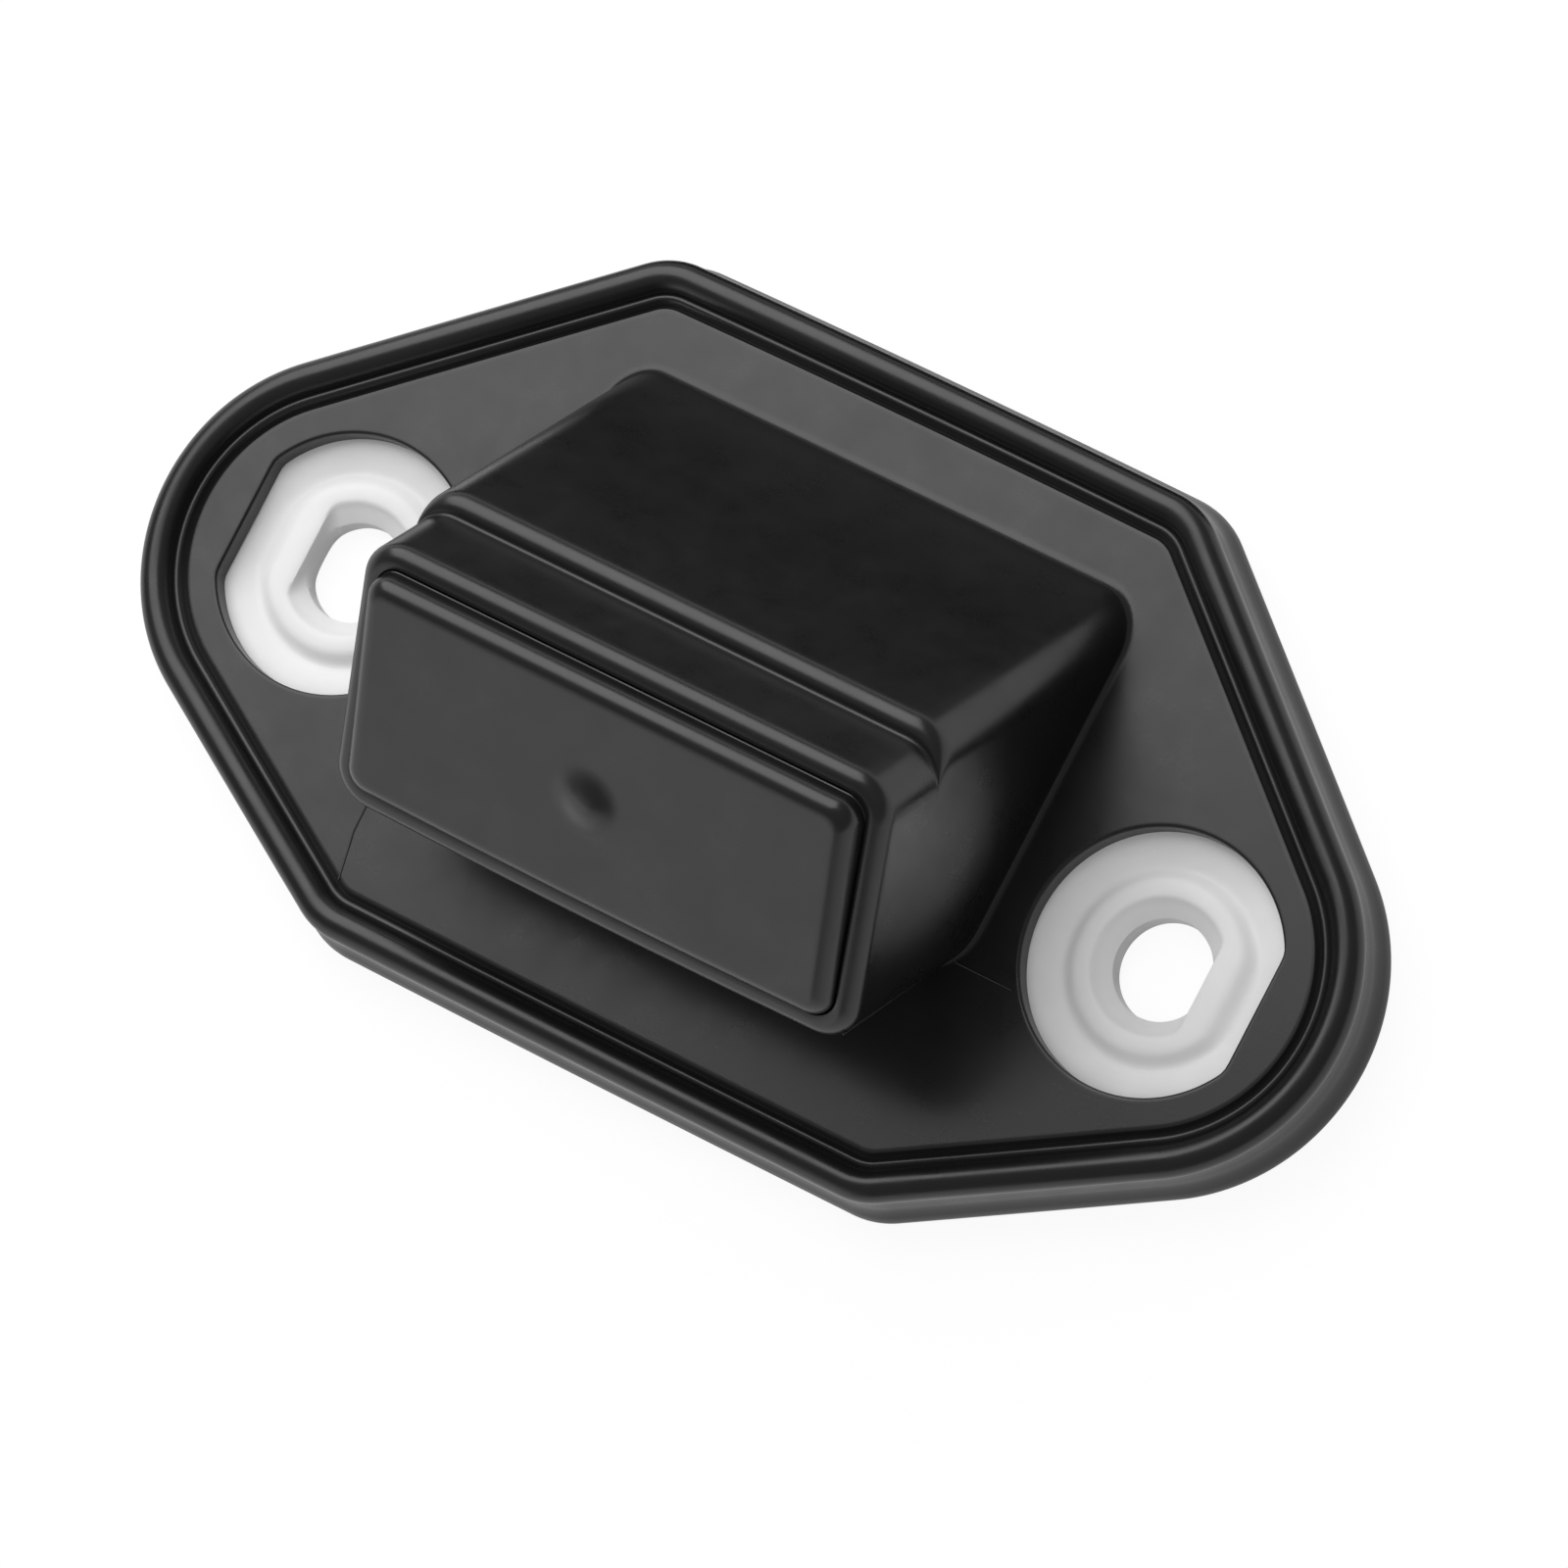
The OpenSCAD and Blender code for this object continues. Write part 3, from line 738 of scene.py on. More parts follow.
@dataclass
class RubberBoot:
    """The rubber skin: bead and skirt, field with two windows, and the leaning block."""

    plate: PlateOutline
    block: LeaningBlock
    skin: float = 1.4
    rim_reach: float = 3.4
    bead_middle: float = 1.85
    bead_radius: float = 1.05
    bead_drop: float = 0.15
    foot_height: float = 2.2
    skirt_inside: float = 1.7
    groove_depth: float = 0.28
    window_radius: float = 8.33
    window_flat: float = 7.34
    window_round: float = 0.22
    foot_round: float = 0.45
    hold: float = 0.15
    wall_start: float = 1.4
    wall_end: float = 17.2
    shoulder: float = 21.65
    shoulder_round: float = 1.15
    shoulder_drop: float = 1.05
    crease_round: float = 0.25
    lip_round: float = 1.1
    mouth_round: float = 0.08
    wall: float = 1.6
    inner_step: float = 1.7
    ledge_along: float = 24.44

    def rim(self) -> list[tuple[float, float]]:
        """The skin's edge in section, from its inside round the skirt and the bead to the field.

        Returns:
            Pairs of distance out and height.
        """
        top = self.block.field_height
        inside_edge = [
            (self.skirt_inside, top - self.skin),
            (self.skirt_inside, 0.25),
            (self.skirt_inside + 0.12, 0.0),
        ]
        foot = [(self.rim_reach - 0.15, 0.0), (self.rim_reach, 0.12), (self.rim_reach - 0.01, 0.45)]
        low_out, low = foot[-1]
        high_out, high = self.bead_middle + self.bead_radius - 0.12, self.foot_height
        flare = [
            (low_out + (high_out - low_out) * math.sin(t * math.pi / 2), low + (high - low) * t)
            for t in (0.2, 0.4, 0.6, 0.8, 1.0)
        ]
        crease = [(high_out - 0.03, high + 0.1)]
        crest = [
            (
                self.bead_middle + self.bead_radius * math.cos(math.radians(a)),
                top - self.bead_drop + self.bead_radius * math.sin(math.radians(a)),
            )
            for a in np.arange(-38, 173, 7.0)
        ]
        lip = [(0.80, -0.03), (0.72, 0.03), (0.62, 0.12), (0.5, 0.15), (0.36, 0.12), (0.25, 0.02)]
        groove = [(0.14, -0.16), (0.0, -self.groove_depth), (-0.12, -0.18), (-0.22, -0.03)]
        field_edge = [(-0.32, 0.0), (-0.5, 0.0)]
        upper = [(out, top + rise) for out, rise in (*lip, *groove, *field_edge)]
        return [*inside_edge, *foot, *flare, *crease, *crest, *upper]

    def window(self, side: float) -> list[np.ndarray]:
        """The rings of one window, from the field to the skin's inside.

        Args:
            side: -1 for the left window and 1 for the right one.

        Returns:
            The rings.
        """
        top, edge = self.block.field_height, self.window_round
        x = side * self.plate.half_spacing

        def ring(out: float, height: float) -> np.ndarray:
            """One ring, moved out from the window's wall."""
            return flatted_ring(x, self.window_radius + out, self.window_flat + out, height, 14.0)

        return [
            ring(edge + 0.12, top),
            *bend(ring(edge, top), ring(0, top), ring(0, top - edge), 5),
            ring(0, top - edge - 0.12),
            ring(0, top - self.skin + 0.1),
            ring(0, top - self.skin),
        ]

    @property
    def step_depth(self) -> float:
        """How deep the top lies in front of the shoulder."""
        return self.shoulder_drop + self.crease_round

    def block_rings(self) -> list[np.ndarray]:
        """The leaning block from the field up, in at the mouth and down its inside.

        Returns:
            Its rings.
        """
        block = self.block
        section = block.outside()
        base = block.place(section, block.level(section, block.field_height))
        tangent = np.roll(base, -1, axis=0) - np.roll(base, 1, axis=0)
        out = np.c_[tangent[:, 1], -tangent[:, 0], 0 * tangent[:, 0]]
        out /= np.linalg.norm(out, axis=1)[:, None]
        along = block.axis() * self.foot_round
        rings = [base + out * (self.foot_round + self.hold)]
        rings += bend(base + out * self.foot_round, base, base + along, 5)
        rings.append(base + along * self.wall_start)
        rings.append(block.place(section, self.wall_end))
        rings += [block.place(block.outside(drop), w) for w, drop in self.step_profile()]
        rings += self.lip_rings()
        rings += self.mouth_rings()
        rings += self.inner_rings()
        return rings

    def step_profile(self) -> list[tuple[float, float]]:
        """The round shoulder and the crease at its foot.

        Returns:
            Pairs of distance along the axis and depth.
        """
        start, crease = self.shoulder, self.crease_round
        foot = start + self.shoulder_round
        profile = [(start - 0.3, 0.0)]
        for a in np.radians(np.arange(0, 91, 10)):
            drop = self.shoulder_drop * (1 - math.cos(a))
            profile.append((start + self.shoulder_round * math.sin(a), drop))
        for a in np.radians(np.arange(18, 91, 18)):
            profile.append((foot + crease * (1 - math.cos(a)), self.shoulder_drop + crease * math.sin(a)))
        profile.append((foot + crease + 0.25, self.step_depth))
        return profile

    def lip_rings(self) -> list[np.ndarray]:
        """The lip's round outer edge.

        Returns:
            Its rings.
        """
        block, r, depth = self.block, self.lip_round, self.step_depth
        rings = [
            block.place(block.outside(depth, 0, block.lip_sag), block.front - r - 0.3, block.lip_tilt)
        ]
        for a in np.radians(np.arange(0, 91, 10)):
            section = block.outside(depth, r * (1 - math.cos(a)), block.lip_sag)
            rings.append(block.place(section, block.front - r + r * math.sin(a), block.lip_tilt))
        return rings

    def mouth(self, out: float) -> np.ndarray:
        """The mouth's section.

        Args:
            out: How far it is widened.

        Returns:
            Points of x and depth.
        """
        block, gap = self.block, self.block.pad_gap + out
        return rounded_box(
            block.pad_half + block.side_gap + out,
            block.pad_top - gap,
            block.pad_bottom + gap,
            block.pad_corner + gap,
            block.lip_sag,
        )

    def mouth_rings(self) -> list[np.ndarray]:
        """The mouth's edge and wall.

        Returns:
            Its rings.
        """
        block, r = self.block, self.mouth_round
        rings = []
        for a in np.radians(np.arange(0, 91, 30)):
            section = self.mouth(r * (1 - math.sin(a)))
            rings.append(block.place(section, block.front - r + r * math.cos(a), block.lip_tilt))
        rings.append(block.place(self.mouth(0), block.front - r - self.hold, block.lip_tilt))
        rings.append(block.place(self.mouth(0), self.ledge_along))
        return rings

    def inner_rings(self) -> list[np.ndarray]:
        """The block's inside, from the ledge behind the mouth to the plate.

        Returns:
            Its rings.
        """
        block, wall, low = self.block, self.wall, self.block.height - self.wall
        half, edge = block.half - wall, max(block.edge - wall, 0.3)
        stepped = rounded_box(half, wall + self.inner_step, low, edge)
        plain = rounded_box(half, wall, low, edge)
        under = self.block.field_height - self.skin
        return [
            block.place(stepped, self.ledge_along),
            block.place(stepped, self.shoulder - 0.05),
            block.place(plain, self.shoulder - 0.85),
            block.place(plain, block.level(plain, under)),
        ]

    def build(self) -> bpy.types.Object:
        """Makes the boot's mesh and puts it in the CAD boot's place.

        Returns:
            The boot.
        """
        draft = MeshDraft()
        under_edge, field_edge = draft.loft([self.plate.ring(out, z) for out, z in self.rim()])
        openings = [draft.loft(self.window(side)) for side in (-1.0, 1.0)]
        foot, hollow = draft.loft(self.block_rings())
        draft.fill(field_edge, [foot, *[upper for upper, _ in openings]])
        draft.fill(under_edge, [hollow, *[lower for _, lower in openings]])
        made = draft.make("rubber_boot_skin")
        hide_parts("rubber_boot")
        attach(made, Body.HOUSING.value)
        return made


@dataclass
class MouldLines:
    """The fine raised lines that the mould's joints leave on the boot."""

    block: LeaningBlock
    size: float = 0.06
    corner_turn: float = 40.0
    lip_end: float = 27.3
    foot_round: float = 0.45
    foot_clear: float = 0.7
    field_reach: float = 4.0
    left_line: tuple[tuple[float, float], ...] = ((-20.9, -8.0), (-20.8, -14.5), (-20.2, -17.6))

    def tube(self, draft: MeshDraft, path: np.ndarray) -> None:
        """Adds one closed round line.

        Args:
            draft: The mesh that it goes into.
            path: The points that it follows, one row each.
        """
        turn = np.radians(np.arange(0, 360, 45))
        ahead = np.gradient(path, axis=0)
        rings = []
        for point, way in zip(path, ahead):
            way = way / np.linalg.norm(way)
            side = np.cross(way, (0.35, -0.8, 0.5))
            side /= np.linalg.norm(side)
            over = np.cross(side, way)
            rings.append(point + self.size * (np.outer(np.cos(turn), side) + np.outer(np.sin(turn), over)))
        first, last = draft.loft(rings)
        draft.faces += [tuple(first), tuple(last)]

    def right_path(self) -> np.ndarray:
        """The line down the block's lower right edge and out over the field.

        Returns:
            Its points, one row each.
        """
        block = self.block
        turn = math.radians(self.corner_turn)
        x = block.half - block.edge + block.edge * math.cos(turn)
        depth = block.height - block.edge + block.edge * math.sin(turn)
        spot = np.array([[x, depth]])
        foot = float(block.level(spot, block.field_height)[0])
        base = block.place(spot, foot)[0]
        out = np.array([math.cos(turn) / math.cos(math.radians(block.lean)), -math.sin(turn), 0.0])
        out *= self.foot_round / np.linalg.norm(out)
        down = [block.place(spot, w)[0] for w in np.linspace(self.lip_end, foot + self.foot_clear, 12)]
        round_foot = bend(base + block.axis() * self.foot_round, base, base + out, 4)
        over = [base + out + (reach, 0, 0) for reach in np.linspace(0.3, self.field_reach, 8)]
        return np.array([*down, *round_foot, *over])

    def build(self) -> bpy.types.Object:
        """Makes the mesh of all the lines.

        Returns:
            The lines.
        """
        draft = MeshDraft()
        self.tube(draft, self.right_path())
        left = np.array([(x, y, self.block.field_height) for x, y in self.left_line])
        stretches = [np.linspace(a, b, 6)[:-1] for a, b in zip(left, left[1:])]
        self.tube(draft, np.concatenate([*stretches, left[-1:]]))
        made = draft.make("mould_lines")
        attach(made, Body.HOUSING.value)
        return made


@dataclass
class PressPad:
    """The pad in the block's mouth: round edge, fine ridge at the lip and a low pip to feel for."""

    block: LeaningBlock
    edge: float = 1.16
    back: float = 25.70
    back_bevel: float = 0.15
    recess_half: float = 16.53
    recess_top: float = 4.3
    recess_bottom: float = 16.9
    carrier_front: float = 27.19
    ridge_along: float = 28.96
    ridge: float = 0.075
    ridge_half: float = 0.13
    pip_x: float = -0.35
    pip_depth: float = 11.0
    pip_radius: float = 2.5
    pip_height: float = 0.5

    def section(self, inset: float) -> np.ndarray:
        """The pad's section.

        Args:
            inset: How far it is pulled in.

        Returns:
            Points of x and depth.
        """
        block = self.block
        return rounded_box(
            block.pad_half - inset,
            block.pad_top + inset,
            block.pad_bottom - inset,
            max(block.pad_corner - 0.55 * inset, 0.25),
            block.lip_sag,
        )

    def side_rings(self) -> list[np.ndarray]:
        """The pad's side, from its back over the fine ridge.

        Returns:
            Its rings.
        """
        block, bevel = self.block, self.back_bevel
        rings = [block.place(self.section(bevel), self.back), block.place(self.section(0), self.back + bevel)]
        for a in np.radians(np.arange(-180, 181, 45)):
            along = self.ridge_along + self.ridge_half * a / math.pi
            height = self.ridge * 0.5 * (1 + math.cos(a))
            rings.append(block.place(self.section(-height), along, block.pad_tilt))
        return rings

    def edge_rings(self) -> list[np.ndarray]:
        """The pad's round edge, from its side to its face.

        Returns:
            Its rings.
        """
        block, r, face = self.block, self.edge, self.block.pad_face
        rings = [block.place(self.section(0), face - r - 0.25, block.pad_tilt)]
        for a in np.radians(np.arange(0, 91, 7.5)):
            section = self.section(r * (1 - math.cos(a)))
            rings.append(block.place(section, face - r + r * math.sin(a), block.pad_tilt))
        rings.append(block.place(self.section(r + 0.2), face, block.pad_tilt))
        return rings

    def pip_rings(self) -> list[np.ndarray]:
        """The pip, from the face to its top.

        Returns:
            Its rings.
        """
        block = self.block
        turn = np.radians(np.arange(0, 360, 7.5))
        rings = []
        for share in (1.12, 1.0, 0.9, 0.8, 0.7, 0.6, 0.5, 0.4, 0.3, 0.18, 0.07):
            rise = self.pip_height * 0.5 * (1 + math.cos(math.pi * min(share, 1.0)))
            reach = share * self.pip_radius
            circle = np.c_[self.pip_x + reach * np.cos(turn), self.pip_depth - reach * np.sin(turn)]
            rings.append(block.place(circle, block.pad_face + rise, block.pad_tilt))
        return rings

    def build(self) -> bpy.types.Object:
        """Makes the pad's mesh and puts it in the CAD pad's place.

        Returns:
            The pad.
        """
        block = self.block
        draft = MeshDraft()
        recess = rounded_box(self.recess_half, self.recess_top, self.recess_bottom, 0.25)
        rings = [block.place(recess, self.carrier_front), block.place(recess, self.back)]
        floor, rim = draft.loft([*rings, *self.side_rings(), *self.edge_rings()])
        upper, lower = draft.loft(self.pip_rings())
        across = np.array([0.0, math.cos(math.radians(block.lean)), math.sin(math.radians(block.lean))])
        draft.fill(floor, [], (1, 0, 0), across)
        draft.fill(rim, [upper], (1, 0, 0), across)
        draft.fill(lower, [], (1, 0, 0), across)
        made = draft.make("press_pad")
        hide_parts("push_pad")
        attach(made, Body.PUSHER.value)
        return made


@dataclass
class ReturnCoil:
    """The coil that pushes the pad back: round wire with closed end turns."""

    block: LeaningBlock
    floor: float = 13.995
    bridge: float = 18.045
    axis_depth: float = 10.6
    radius: float = 1.95
    wire: float = 0.45
    turns: float = 4.0
    end_closing: float = 0.484
    travel: float = 1.2

    def centre_line(self, steps: int = 160) -> np.ndarray:
        """The wire's centre line in the coil's own frame, closing up at both ends.

        Args:
            steps: The number of steps along it.

        Returns:
            Points of x, depth and distance along the axis, one row each.
        """
        share = np.linspace(0, 1, steps + 1)
        rise = share - self.end_closing * np.sin(2 * math.pi * share) / (2 * math.pi)
        turn = 2 * math.pi * self.turns * share
        low, high = self.floor + self.wire / 2, self.bridge - self.wire / 2
        along = low + (high - low) * np.clip(rise, 0, 1)
        return np.c_[self.radius * np.cos(turn), self.radius * np.sin(turn), along]

    def build(self) -> bpy.types.Object:
        """Makes the coil's mesh in the CAD spring's place and attaches it to the pusher body.

        Returns:
            The coil.
        """
        turn = np.radians(np.arange(0, 360, 36))
        draft = MeshDraft()
        rings = []
        for point in self.centre_line():
            out = np.array([point[0], point[1], 0.0])
            out /= np.linalg.norm(out)
            circle = np.outer(np.cos(turn), out) + np.outer(np.sin(turn), (0, 0, 1))
            ring = point + self.wire / 2 * circle
            rings.append(self.block.place(ring[:, :2] + (0, self.axis_depth), ring[:, 2]))
        first, last = draft.loft(rings)
        draft.faces += [tuple(first), tuple(last)]
        made = draft.make("return_coil")
        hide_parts("return_spring")
        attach(made, Body.PUSHER.value)
        bridge = self.block.place(np.array([[0.0, self.axis_depth]]), self.bridge)[0] * MM
        tuple(self.block.axis())
        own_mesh(made)
        return made


@dataclass
class FrameMoulding:
    """The white frame under the skin, with its two dished screw seats."""

    plate: PlateOutline
    frame_node: bpy.types.Object
    seat_radius: float = 8.9
    seat_top: float = 2.55
    cut_span: tuple[float, float] = (-1.0, 6.0)
    cad_reach: float = 1e-6
    cut_reach: float = 3e-6
    sharp: float = 30.0

    def seat_rings(self, side: float) -> list[np.ndarray]:
        """The rings of one seat, from its underside over the dish and down the screw hole.

        Args:
            side: -1 for the left seat and 1 for the right one.

        Returns:
            The rings.
        """
        x = side * self.plate.half_spacing
        # Each row is a ring's radius, the distance to its flat, and its height
        profile = [
            (self.seat_radius, NO_FLAT, 0.0),
            (self.seat_radius, NO_FLAT, self.seat_top),
            (8.2, NO_FLAT, self.seat_top),
            (7.7, NO_FLAT, self.seat_top - 0.06),
            (7.0, NO_FLAT, self.seat_top - 0.26),
            (6.6, 6.5, self.seat_top - 0.42),
            (6.35, 6.1, self.seat_top - 0.5),
            (6.15, 5.8, self.seat_top - 0.5),
            (5.95, 5.5, self.seat_top - 0.41),
            (5.75, 5.2, self.seat_top - 0.24),
            (5.55, 4.92, self.seat_top - 0.06),
            (5.35, 4.65, self.seat_top + 0.05),
            (5.1, 4.3, self.seat_top + 0.1),
            (4.8, 3.7, self.seat_top + 0.1),
            (4.5, 3.2, self.seat_top + 0.1),
            (4.32, 3.06, self.seat_top + 0.04),
            (4.2, 3.01, self.seat_top - 0.1),
            (3.85, 3.0, self.seat_top - 0.42),
            (3.35, 3.0, self.seat_top - 0.8),
            (3.2, 3.0, self.seat_top - 0.95),
            (3.2, 3.0, 0.2),
            (3.3, 3.1, 0.0),
        ]
        return [flatted_ring(x, r, f, z) for r, f, z in profile]

    def build(self) -> bpy.types.Object:
        """Makes the frame: the CAD frame with two finely made seats in place of its own.

        Returns:
            The frame.
        """
        made = self.frame_node.copy()
        made.data = self.frame_node.data.copy()
        made.name = "frame_moulding"
        made.parent = None
        for key in [k for k in made.keys() if k.startswith("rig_")]:
            del made[key]
        bpy.context.scene.collection.objects.link(made)
        weld(made.data, self.cad_reach)
        for side in (-1, 1):
            self.cut(made, side)
        seats = MeshDraft()
        for side in (-1, 1):
            first, last = seats.loft(self.seat_rings(side))
            seats.bridge(last, first)
        extra = seats.make("seat_part")
        with bpy.context.temp_override(active_object=made, selected_editable_objects=[made, extra]):
            bpy.ops.object.join()
        smooth(made.data, self.sharp)
        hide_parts("base_frame")
        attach(made, Body.HOUSING.value)
        return made

    def cut(self, made: bpy.types.Object, side: int) -> None:
        """Cuts the round place of one seat out of the frame.

        Args:
            made: The frame.
            side: -1 for the left seat and 1 for the right one.
        """
        draft = MeshDraft()
        x = side * self.plate.half_spacing
        lower, upper = draft.loft([flatted_ring(x, self.seat_radius, NO_FLAT, z) for z in self.cut_span])
        draft.fill(lower)
        draft.fill(upper)
        cutter = draft.make("seat_cutter")
        change = made.modifiers.new("seat", "BOOLEAN")
        change.operation = "DIFFERENCE"
        change.solver = "EXACT"
        change.object = cutter
        bpy.context.view_layer.update()
        seen = bpy.context.evaluated_depsgraph_get()
        result = bpy.data.meshes.new_from_object(made.evaluated_get(seen))
        made.modifiers.clear()
        weld(result, self.cut_reach)
        made.data = result
        bpy.data.objects.remove(cutter)


@dataclass
class Works:
    """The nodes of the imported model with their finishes, those that the fine meshes replace too."""

    nodes: dict[str, bpy.types.Object]
    finishes: dict[str, Slot] = field(
        default_factory=lambda: {
            "switch_case": Slot.CASE,
            "switch_lid": Slot.CASE,
            "plunger_seal": Slot.SEAL,
            "cover_gasket": Slot.SEAL,
            "left_terminal": Slot.BRASS,
            "right_terminal": Slot.BRASS,
            "contact_bridge": Slot.BRASS,
            "terminal_contacts": Slot.SILVER,
            "bridge_contacts": Slot.SILVER,
            "rear_cover": Slot.COVER,
            "cover_screws": Slot.SCREW,
            "plunger": Slot.NATURAL,
            "pad_carrier": Slot.NATURAL,
            "return_spring": Slot.SPRING,
            "rubber_boot": Slot.BOOT,
            "push_pad": Slot.PAD,
            "base_frame": Slot.NYLON,
        }
    )

    def dress(self, materials: dict[Slot, bpy.types.Material]) -> None:
        """Gives each node its finish.

        Args:
            materials: The material of each slot.
        """
        for name, slot in self.finishes.items():
            paint(self.nodes[name], materials[slot])


def paint(piece: bpy.types.Object, material: bpy.types.Material) -> None:
    """Gives a whole piece one material.

    Args:
        piece: The piece.
        material: Its material.
    """
    piece.data.materials.clear()
    piece.data.materials.append(material)


def finishes() -> dict[Slot, bpy.types.Material]:
    """Makes all the materials.

    Returns:
        The material of each slot.
    """
    return {
        Slot.BOOT: MouldedRubber("boot_rubber").make(),
        Slot.PAD: MouldedRubber("pad_rubber", drift_mm=14.0).make(),
        Slot.NYLON: MouldedPlastic(
            "white_nylon", (0.81, 0.81, 0.805), (0.86, 0.86, 0.855), through=0.12
        ).make(),
        Slot.NATURAL: MouldedPlastic(
            "natural_nylon", (0.62, 0.60, 0.53), (0.70, 0.68, 0.61), through=0.12
        ).make(),
        Slot.CASE: MouldedPlastic("case_plastic", (0.012, 0.028, 0.07), (0.018, 0.038, 0.09)).make(),
        Slot.SEAL: MouldedRubber("seal_rubber", roughness=(0.6, 0.75)).make(),
        Slot.COVER: MouldedPlastic("cover_plastic", (0.012, 0.012, 0.013), (0.019, 0.019, 0.02)).make(),
        Slot.BRASS: WorkedMetal("terminal_brass", (0.62, 0.44, 0.18), (0.72, 0.53, 0.24)).make(),
        Slot.SILVER: WorkedMetal("contact_silver", (0.72, 0.72, 0.72), (0.8, 0.8, 0.79)).make(),
        Slot.SCREW: WorkedMetal("screw_steel", (0.45, 0.46, 0.47), (0.56, 0.57, 0.58)).make(),
        Slot.SPRING: WorkedMetal("spring_steel", (0.38, 0.38, 0.39), (0.5, 0.5, 0.51)).make(),
    }


# Studio


@dataclass
class Studio:
    """The floor, the lamps, the world and the camera."""

    centre: tuple[float, float, float] = (0.0, 0.0, 0.004)
    right: tuple[float, float, float] = (0.826, 0.460, -0.325)
    up: tuple[float, float, float] = (-0.406, 0.886, 0.222)
    distance: float = 0.7586
    aside: float = 0.00269
    raised: float = -0.00149
    lens: float = 284.96
    bounce: tuple[float, float, float] = (0.22, 0.22, 0.22)
    paper: float = 1.03
    glow_share: float = 0.88
    room: float = 0.24
    floor_rings: tuple[tuple[float, float], ...] = ((2.0, 0.0), (2.3, 0.03), (2.45, 0.12), (2.5, 0.4))
    floor_drop: float = 0.00005
    card_x: tuple[float, float] = (-0.12, 0.022)
    card_y: tuple[float, float] = (0.03, 0.15)
    card_drop: float = 0.00002

    def camera(self) -> None:
        """Puts the camera where the photograph was taken from."""
        right = Vector(self.right).normalized()
        up = Vector(self.up)
        up = (up - right * up.dot(right)).normalized()
        back = right.cross(up)
        place = Vector(self.centre) + back * self.distance + right * self.aside + up * self.raised
        data = bpy.data.cameras.new("camera")
        data.lens = self.lens
        data.sensor_width = 36.0
        data.clip_start = 0.05
        data.clip_end = 20.0
        made = bpy.data.objects.new("camera", data)
        turn = Matrix((right, up, back)).transposed().to_4x4()
        made.matrix_world = Matrix.Translation(place) @ turn
        bpy.context.scene.collection.objects.link(made)
        bpy.context.scene.camera = made

    def lamp(
        self,
        name: str,
        toward: Sequence[float],
        edge: Sequence[float],
        away: float,
        size: float,
        radiance: float,
    ) -> bpy.types.Object:
        """Adds a soft square lamp that faces the switch.

        Args:
            name: The lamp's name.
            toward: The direction from the switch to the lamp.
            edge: The direction that one pair of its sides follows, as near as it can.
            away: Its distance in metres.
            size: The length of its side in metres.
            radiance: Its brightness, where 1 is white paper.

        Returns:
            The lamp.
        """
        data = bpy.data.lights.new(name, "AREA")
        data.shape = "SQUARE"
        data.size = size
        data.energy = radiance * math.pi * size * size
        made = bpy.data.objects.new(name, data)
        back = Vector(toward).normalized()
        side = Vector(edge)
        side = (side - back * side.dot(back)).normalized()
        turn = Matrix((back.cross(side).cross(back), back.cross(side), back)).transposed().to_4x4()
        made.matrix_world = Matrix.Translation(Vector(self.centre) + back * away) @ turn
        made.visible_camera = False
        bpy.context.scene.collection.objects.link(made)
        return made

    def floor(self) -> None:
        """Lays the pale paper under the switch, turned up at a low wall all round."""
        mesh = bpy.data.meshes.new("floor")
        turn = np.radians(np.arange(0, 360, 5))
        ring = np.c_[np.cos(turn), np.sin(turn)]
        spots = [(0.0, 0.0, 0.0)]
        for reach, height in self.floor_rings:
            spots += [(float(x) * reach, float(y) * reach, height) for x, y in ring]
        count = len(turn)
        faces = [(0, 1 + i, 1 + (i + 1) % count) for i in range(count)]
        for k in range(len(self.floor_rings) - 1):
            low, high = 1 + k * count, 1 + (k + 1) * count
            for i in range(count):
                j = (i + 1) % count
                faces.append((low + i, high + i, high + j, low + j))
        mesh.from_pydata(spots, [], faces)
        smooth(mesh, 60.0)
        made = bpy.data.objects.new("floor", mesh)
        made.location.z = -self.floor_drop
        bpy.context.scene.collection.objects.link(made)
        sheet = Sheet("floor_paper")
        sheet.shader.inputs["Base Color"].default_value = (0.93, 0.93, 0.93, 1)
        sheet.shader.inputs["Roughness"].default_value = 0.9
        sheet.shader.inputs["Specular IOR Level"].default_value = 0.1
        glow = sheet.node("ShaderNodeEmission", {"Color": (1, 1, 1, 1), "Strength": self.paper})
        rays = sheet.node("ShaderNodeLightPath")
        lit = sheet.node("ShaderNodeMixShader")
        lit.inputs[0].default_value = self.glow_share
        sheet.feed(lit.inputs[1], sheet.shader.outputs[0])
        sheet.feed(lit.inputs[2], glow.outputs[0])
        seen = rays.outputs["Is Camera Ray"]
        for kind in ("Is Glossy Ray", "Is Transmission Ray"):
            either = sheet.node("ShaderNodeMath", {0: seen, 1: rays.outputs[kind]}, operation="MAXIMUM")
            seen = either.outputs[0]
        dim = sheet.node("ShaderNodeBsdfDiffuse", {"Color": (*self.bounce, 1.0)})
        mix = sheet.node("ShaderNodeMixShader")
        sheet.feed(mix.inputs[0], seen)
        sheet.feed(mix.inputs[1], dim.outputs[0])
        sheet.feed(mix.inputs[2], lit.outputs[0])
        sheet.feed(sheet.output.inputs["Surface"], mix.outputs[0])
        made.data.materials.append(sheet.material)

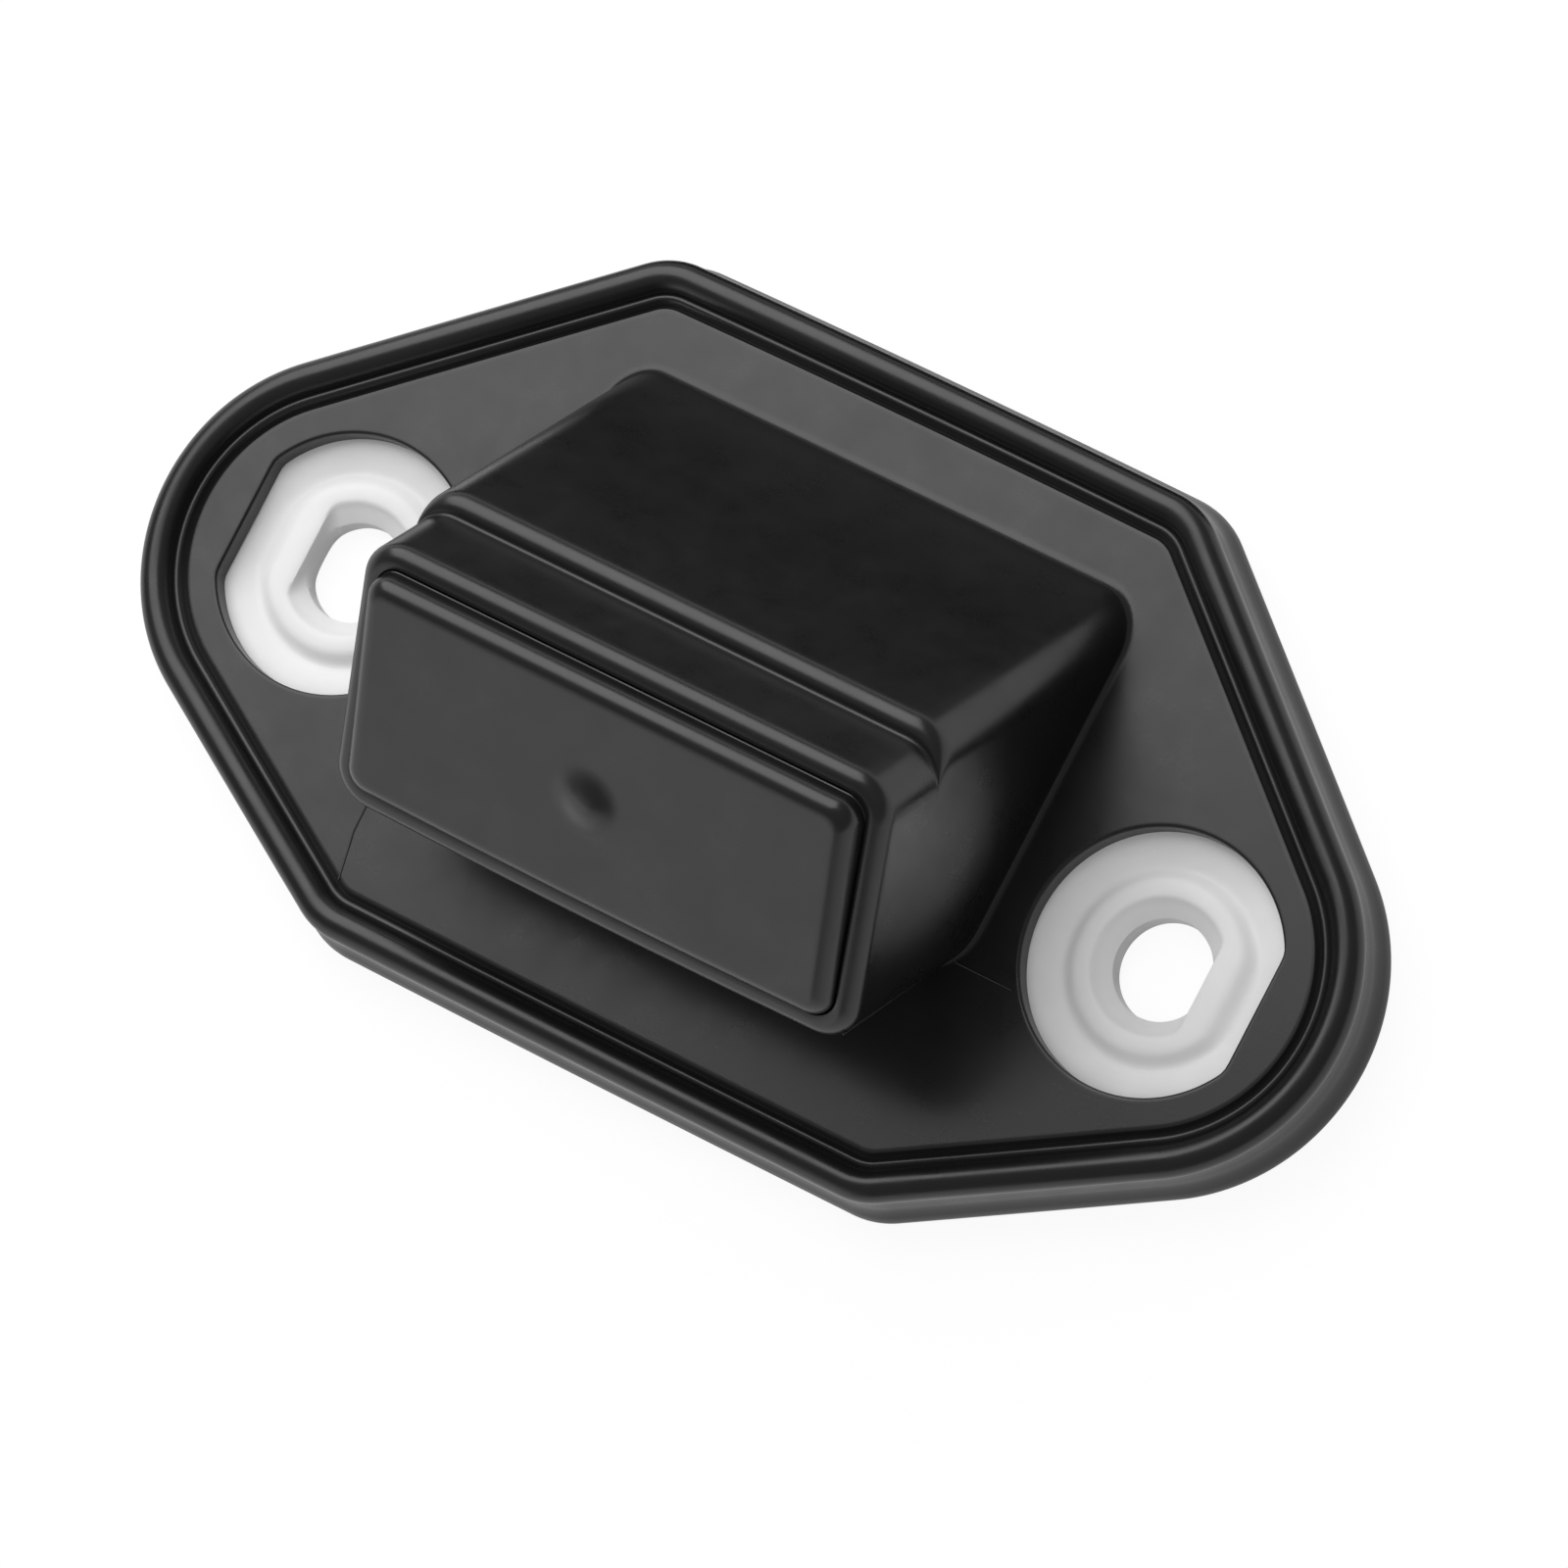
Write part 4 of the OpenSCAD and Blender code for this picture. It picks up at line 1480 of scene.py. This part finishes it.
    def card(self) -> None:
        """Lays a dark card behind the switch that only reflections see, so it paints a dark reflection on the
        block's top face.
        """
        mesh = bpy.data.meshes.new("card")
        (left, right), (near, far) = self.card_x, self.card_y
        spots = [(left, near, 0), (right, near, 0), (right, far, 0), (left, far, 0)]
        mesh.from_pydata(spots, [], [(0, 1, 2, 3)])
        made = bpy.data.objects.new("card", mesh)
        made.location.z = -self.card_drop
        bpy.context.scene.collection.objects.link(made)
        # Painted shade: this dark sheet is seen only by reflection rays and darkens the top face's reflection
        sheet = Sheet("painted_dark_reflection_card")
        tone = sheet.blend(sheet.noise(1.2), (0.008, 0.008, 0.008), (0.014, 0.014, 0.014))
        sheet.feed(sheet.shader.inputs["Base Color"], tone)
        sheet.shader.inputs["Roughness"].default_value = 1.0
        sheet.shader.inputs["Specular IOR Level"].default_value = 0.0
        made.data.materials.append(sheet.material)
        made.visible_camera = False
        made.visible_diffuse = False
        made.visible_transmission = False
        made.visible_shadow = False

    def world(self) -> None:
        """Fills the room with an even light."""
        world = bpy.data.worlds.new("room")
        world.use_nodes = True
        tree = world.node_tree
        tree.nodes.clear()
        out = tree.nodes.new("ShaderNodeOutputWorld")
        room = tree.nodes.new("ShaderNodeBackground")
        room.inputs["Color"].default_value = (1, 1, 1, 1)
        room.inputs["Strength"].default_value = self.room
        tree.links.new(room.outputs[0], out.inputs["Surface"])
        bpy.context.scene.world = world

    def build(self) -> None:
        """Sets up the whole studio."""
        self.floor()
        self.card()
        self.world()
        self.lamp(
            "overhead",
            toward=(-0.48, 0.43, 0.76),
            edge=(-0.46, 0.85, -0.25),
            away=0.32,
            size=0.32,
            radiance=2.8,
        )
        self.lamp(
            "front",
            toward=(-0.42, -0.90, 0.22),
            edge=(0.0, 0.0, 1.0),
            away=1.2,
            size=0.75,
            radiance=0.56,
        )
        fill = self.lamp(
            "fill",
            toward=(0.25, -0.15, 0.95),
            edge=(0.0, 1.0, 0.0),
            away=1.2,
            size=1.2,
            radiance=0.95,
        )
        fill.visible_glossy = False
        self.camera()
        bpy.context.scene.view_settings.view_transform = "Standard"


def main(frame: dict[str, Any]) -> None:
    """Builds and dresses every piece.
    """
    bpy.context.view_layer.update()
    materials = finishes()
    plate, block = PlateOutline(), LeaningBlock()
    Works(frame["nodes"]).dress(materials)
    LOG.info("works dressed: %d nodes", len(frame["nodes"]))
    for maker, slot in (
        (RubberBoot(plate, block), Slot.BOOT),
        (MouldLines(block), Slot.BOOT),
        (PressPad(block), Slot.PAD),
        (ReturnCoil(block), Slot.SPRING),
        (FrameMoulding(plate, frame["nodes"]["base_frame"]), Slot.NYLON),
    ):
        piece = maker.build()
        paint(piece, materials[slot])
        LOG.info("%s: %d faces", piece.name, len(piece.data.polygons))
    Studio().build()
    LOG.info("studio set")
    bpy.context.view_layer.update()


if __name__ == "__main__":
    logging.basicConfig(level=logging.INFO)
    main(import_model())
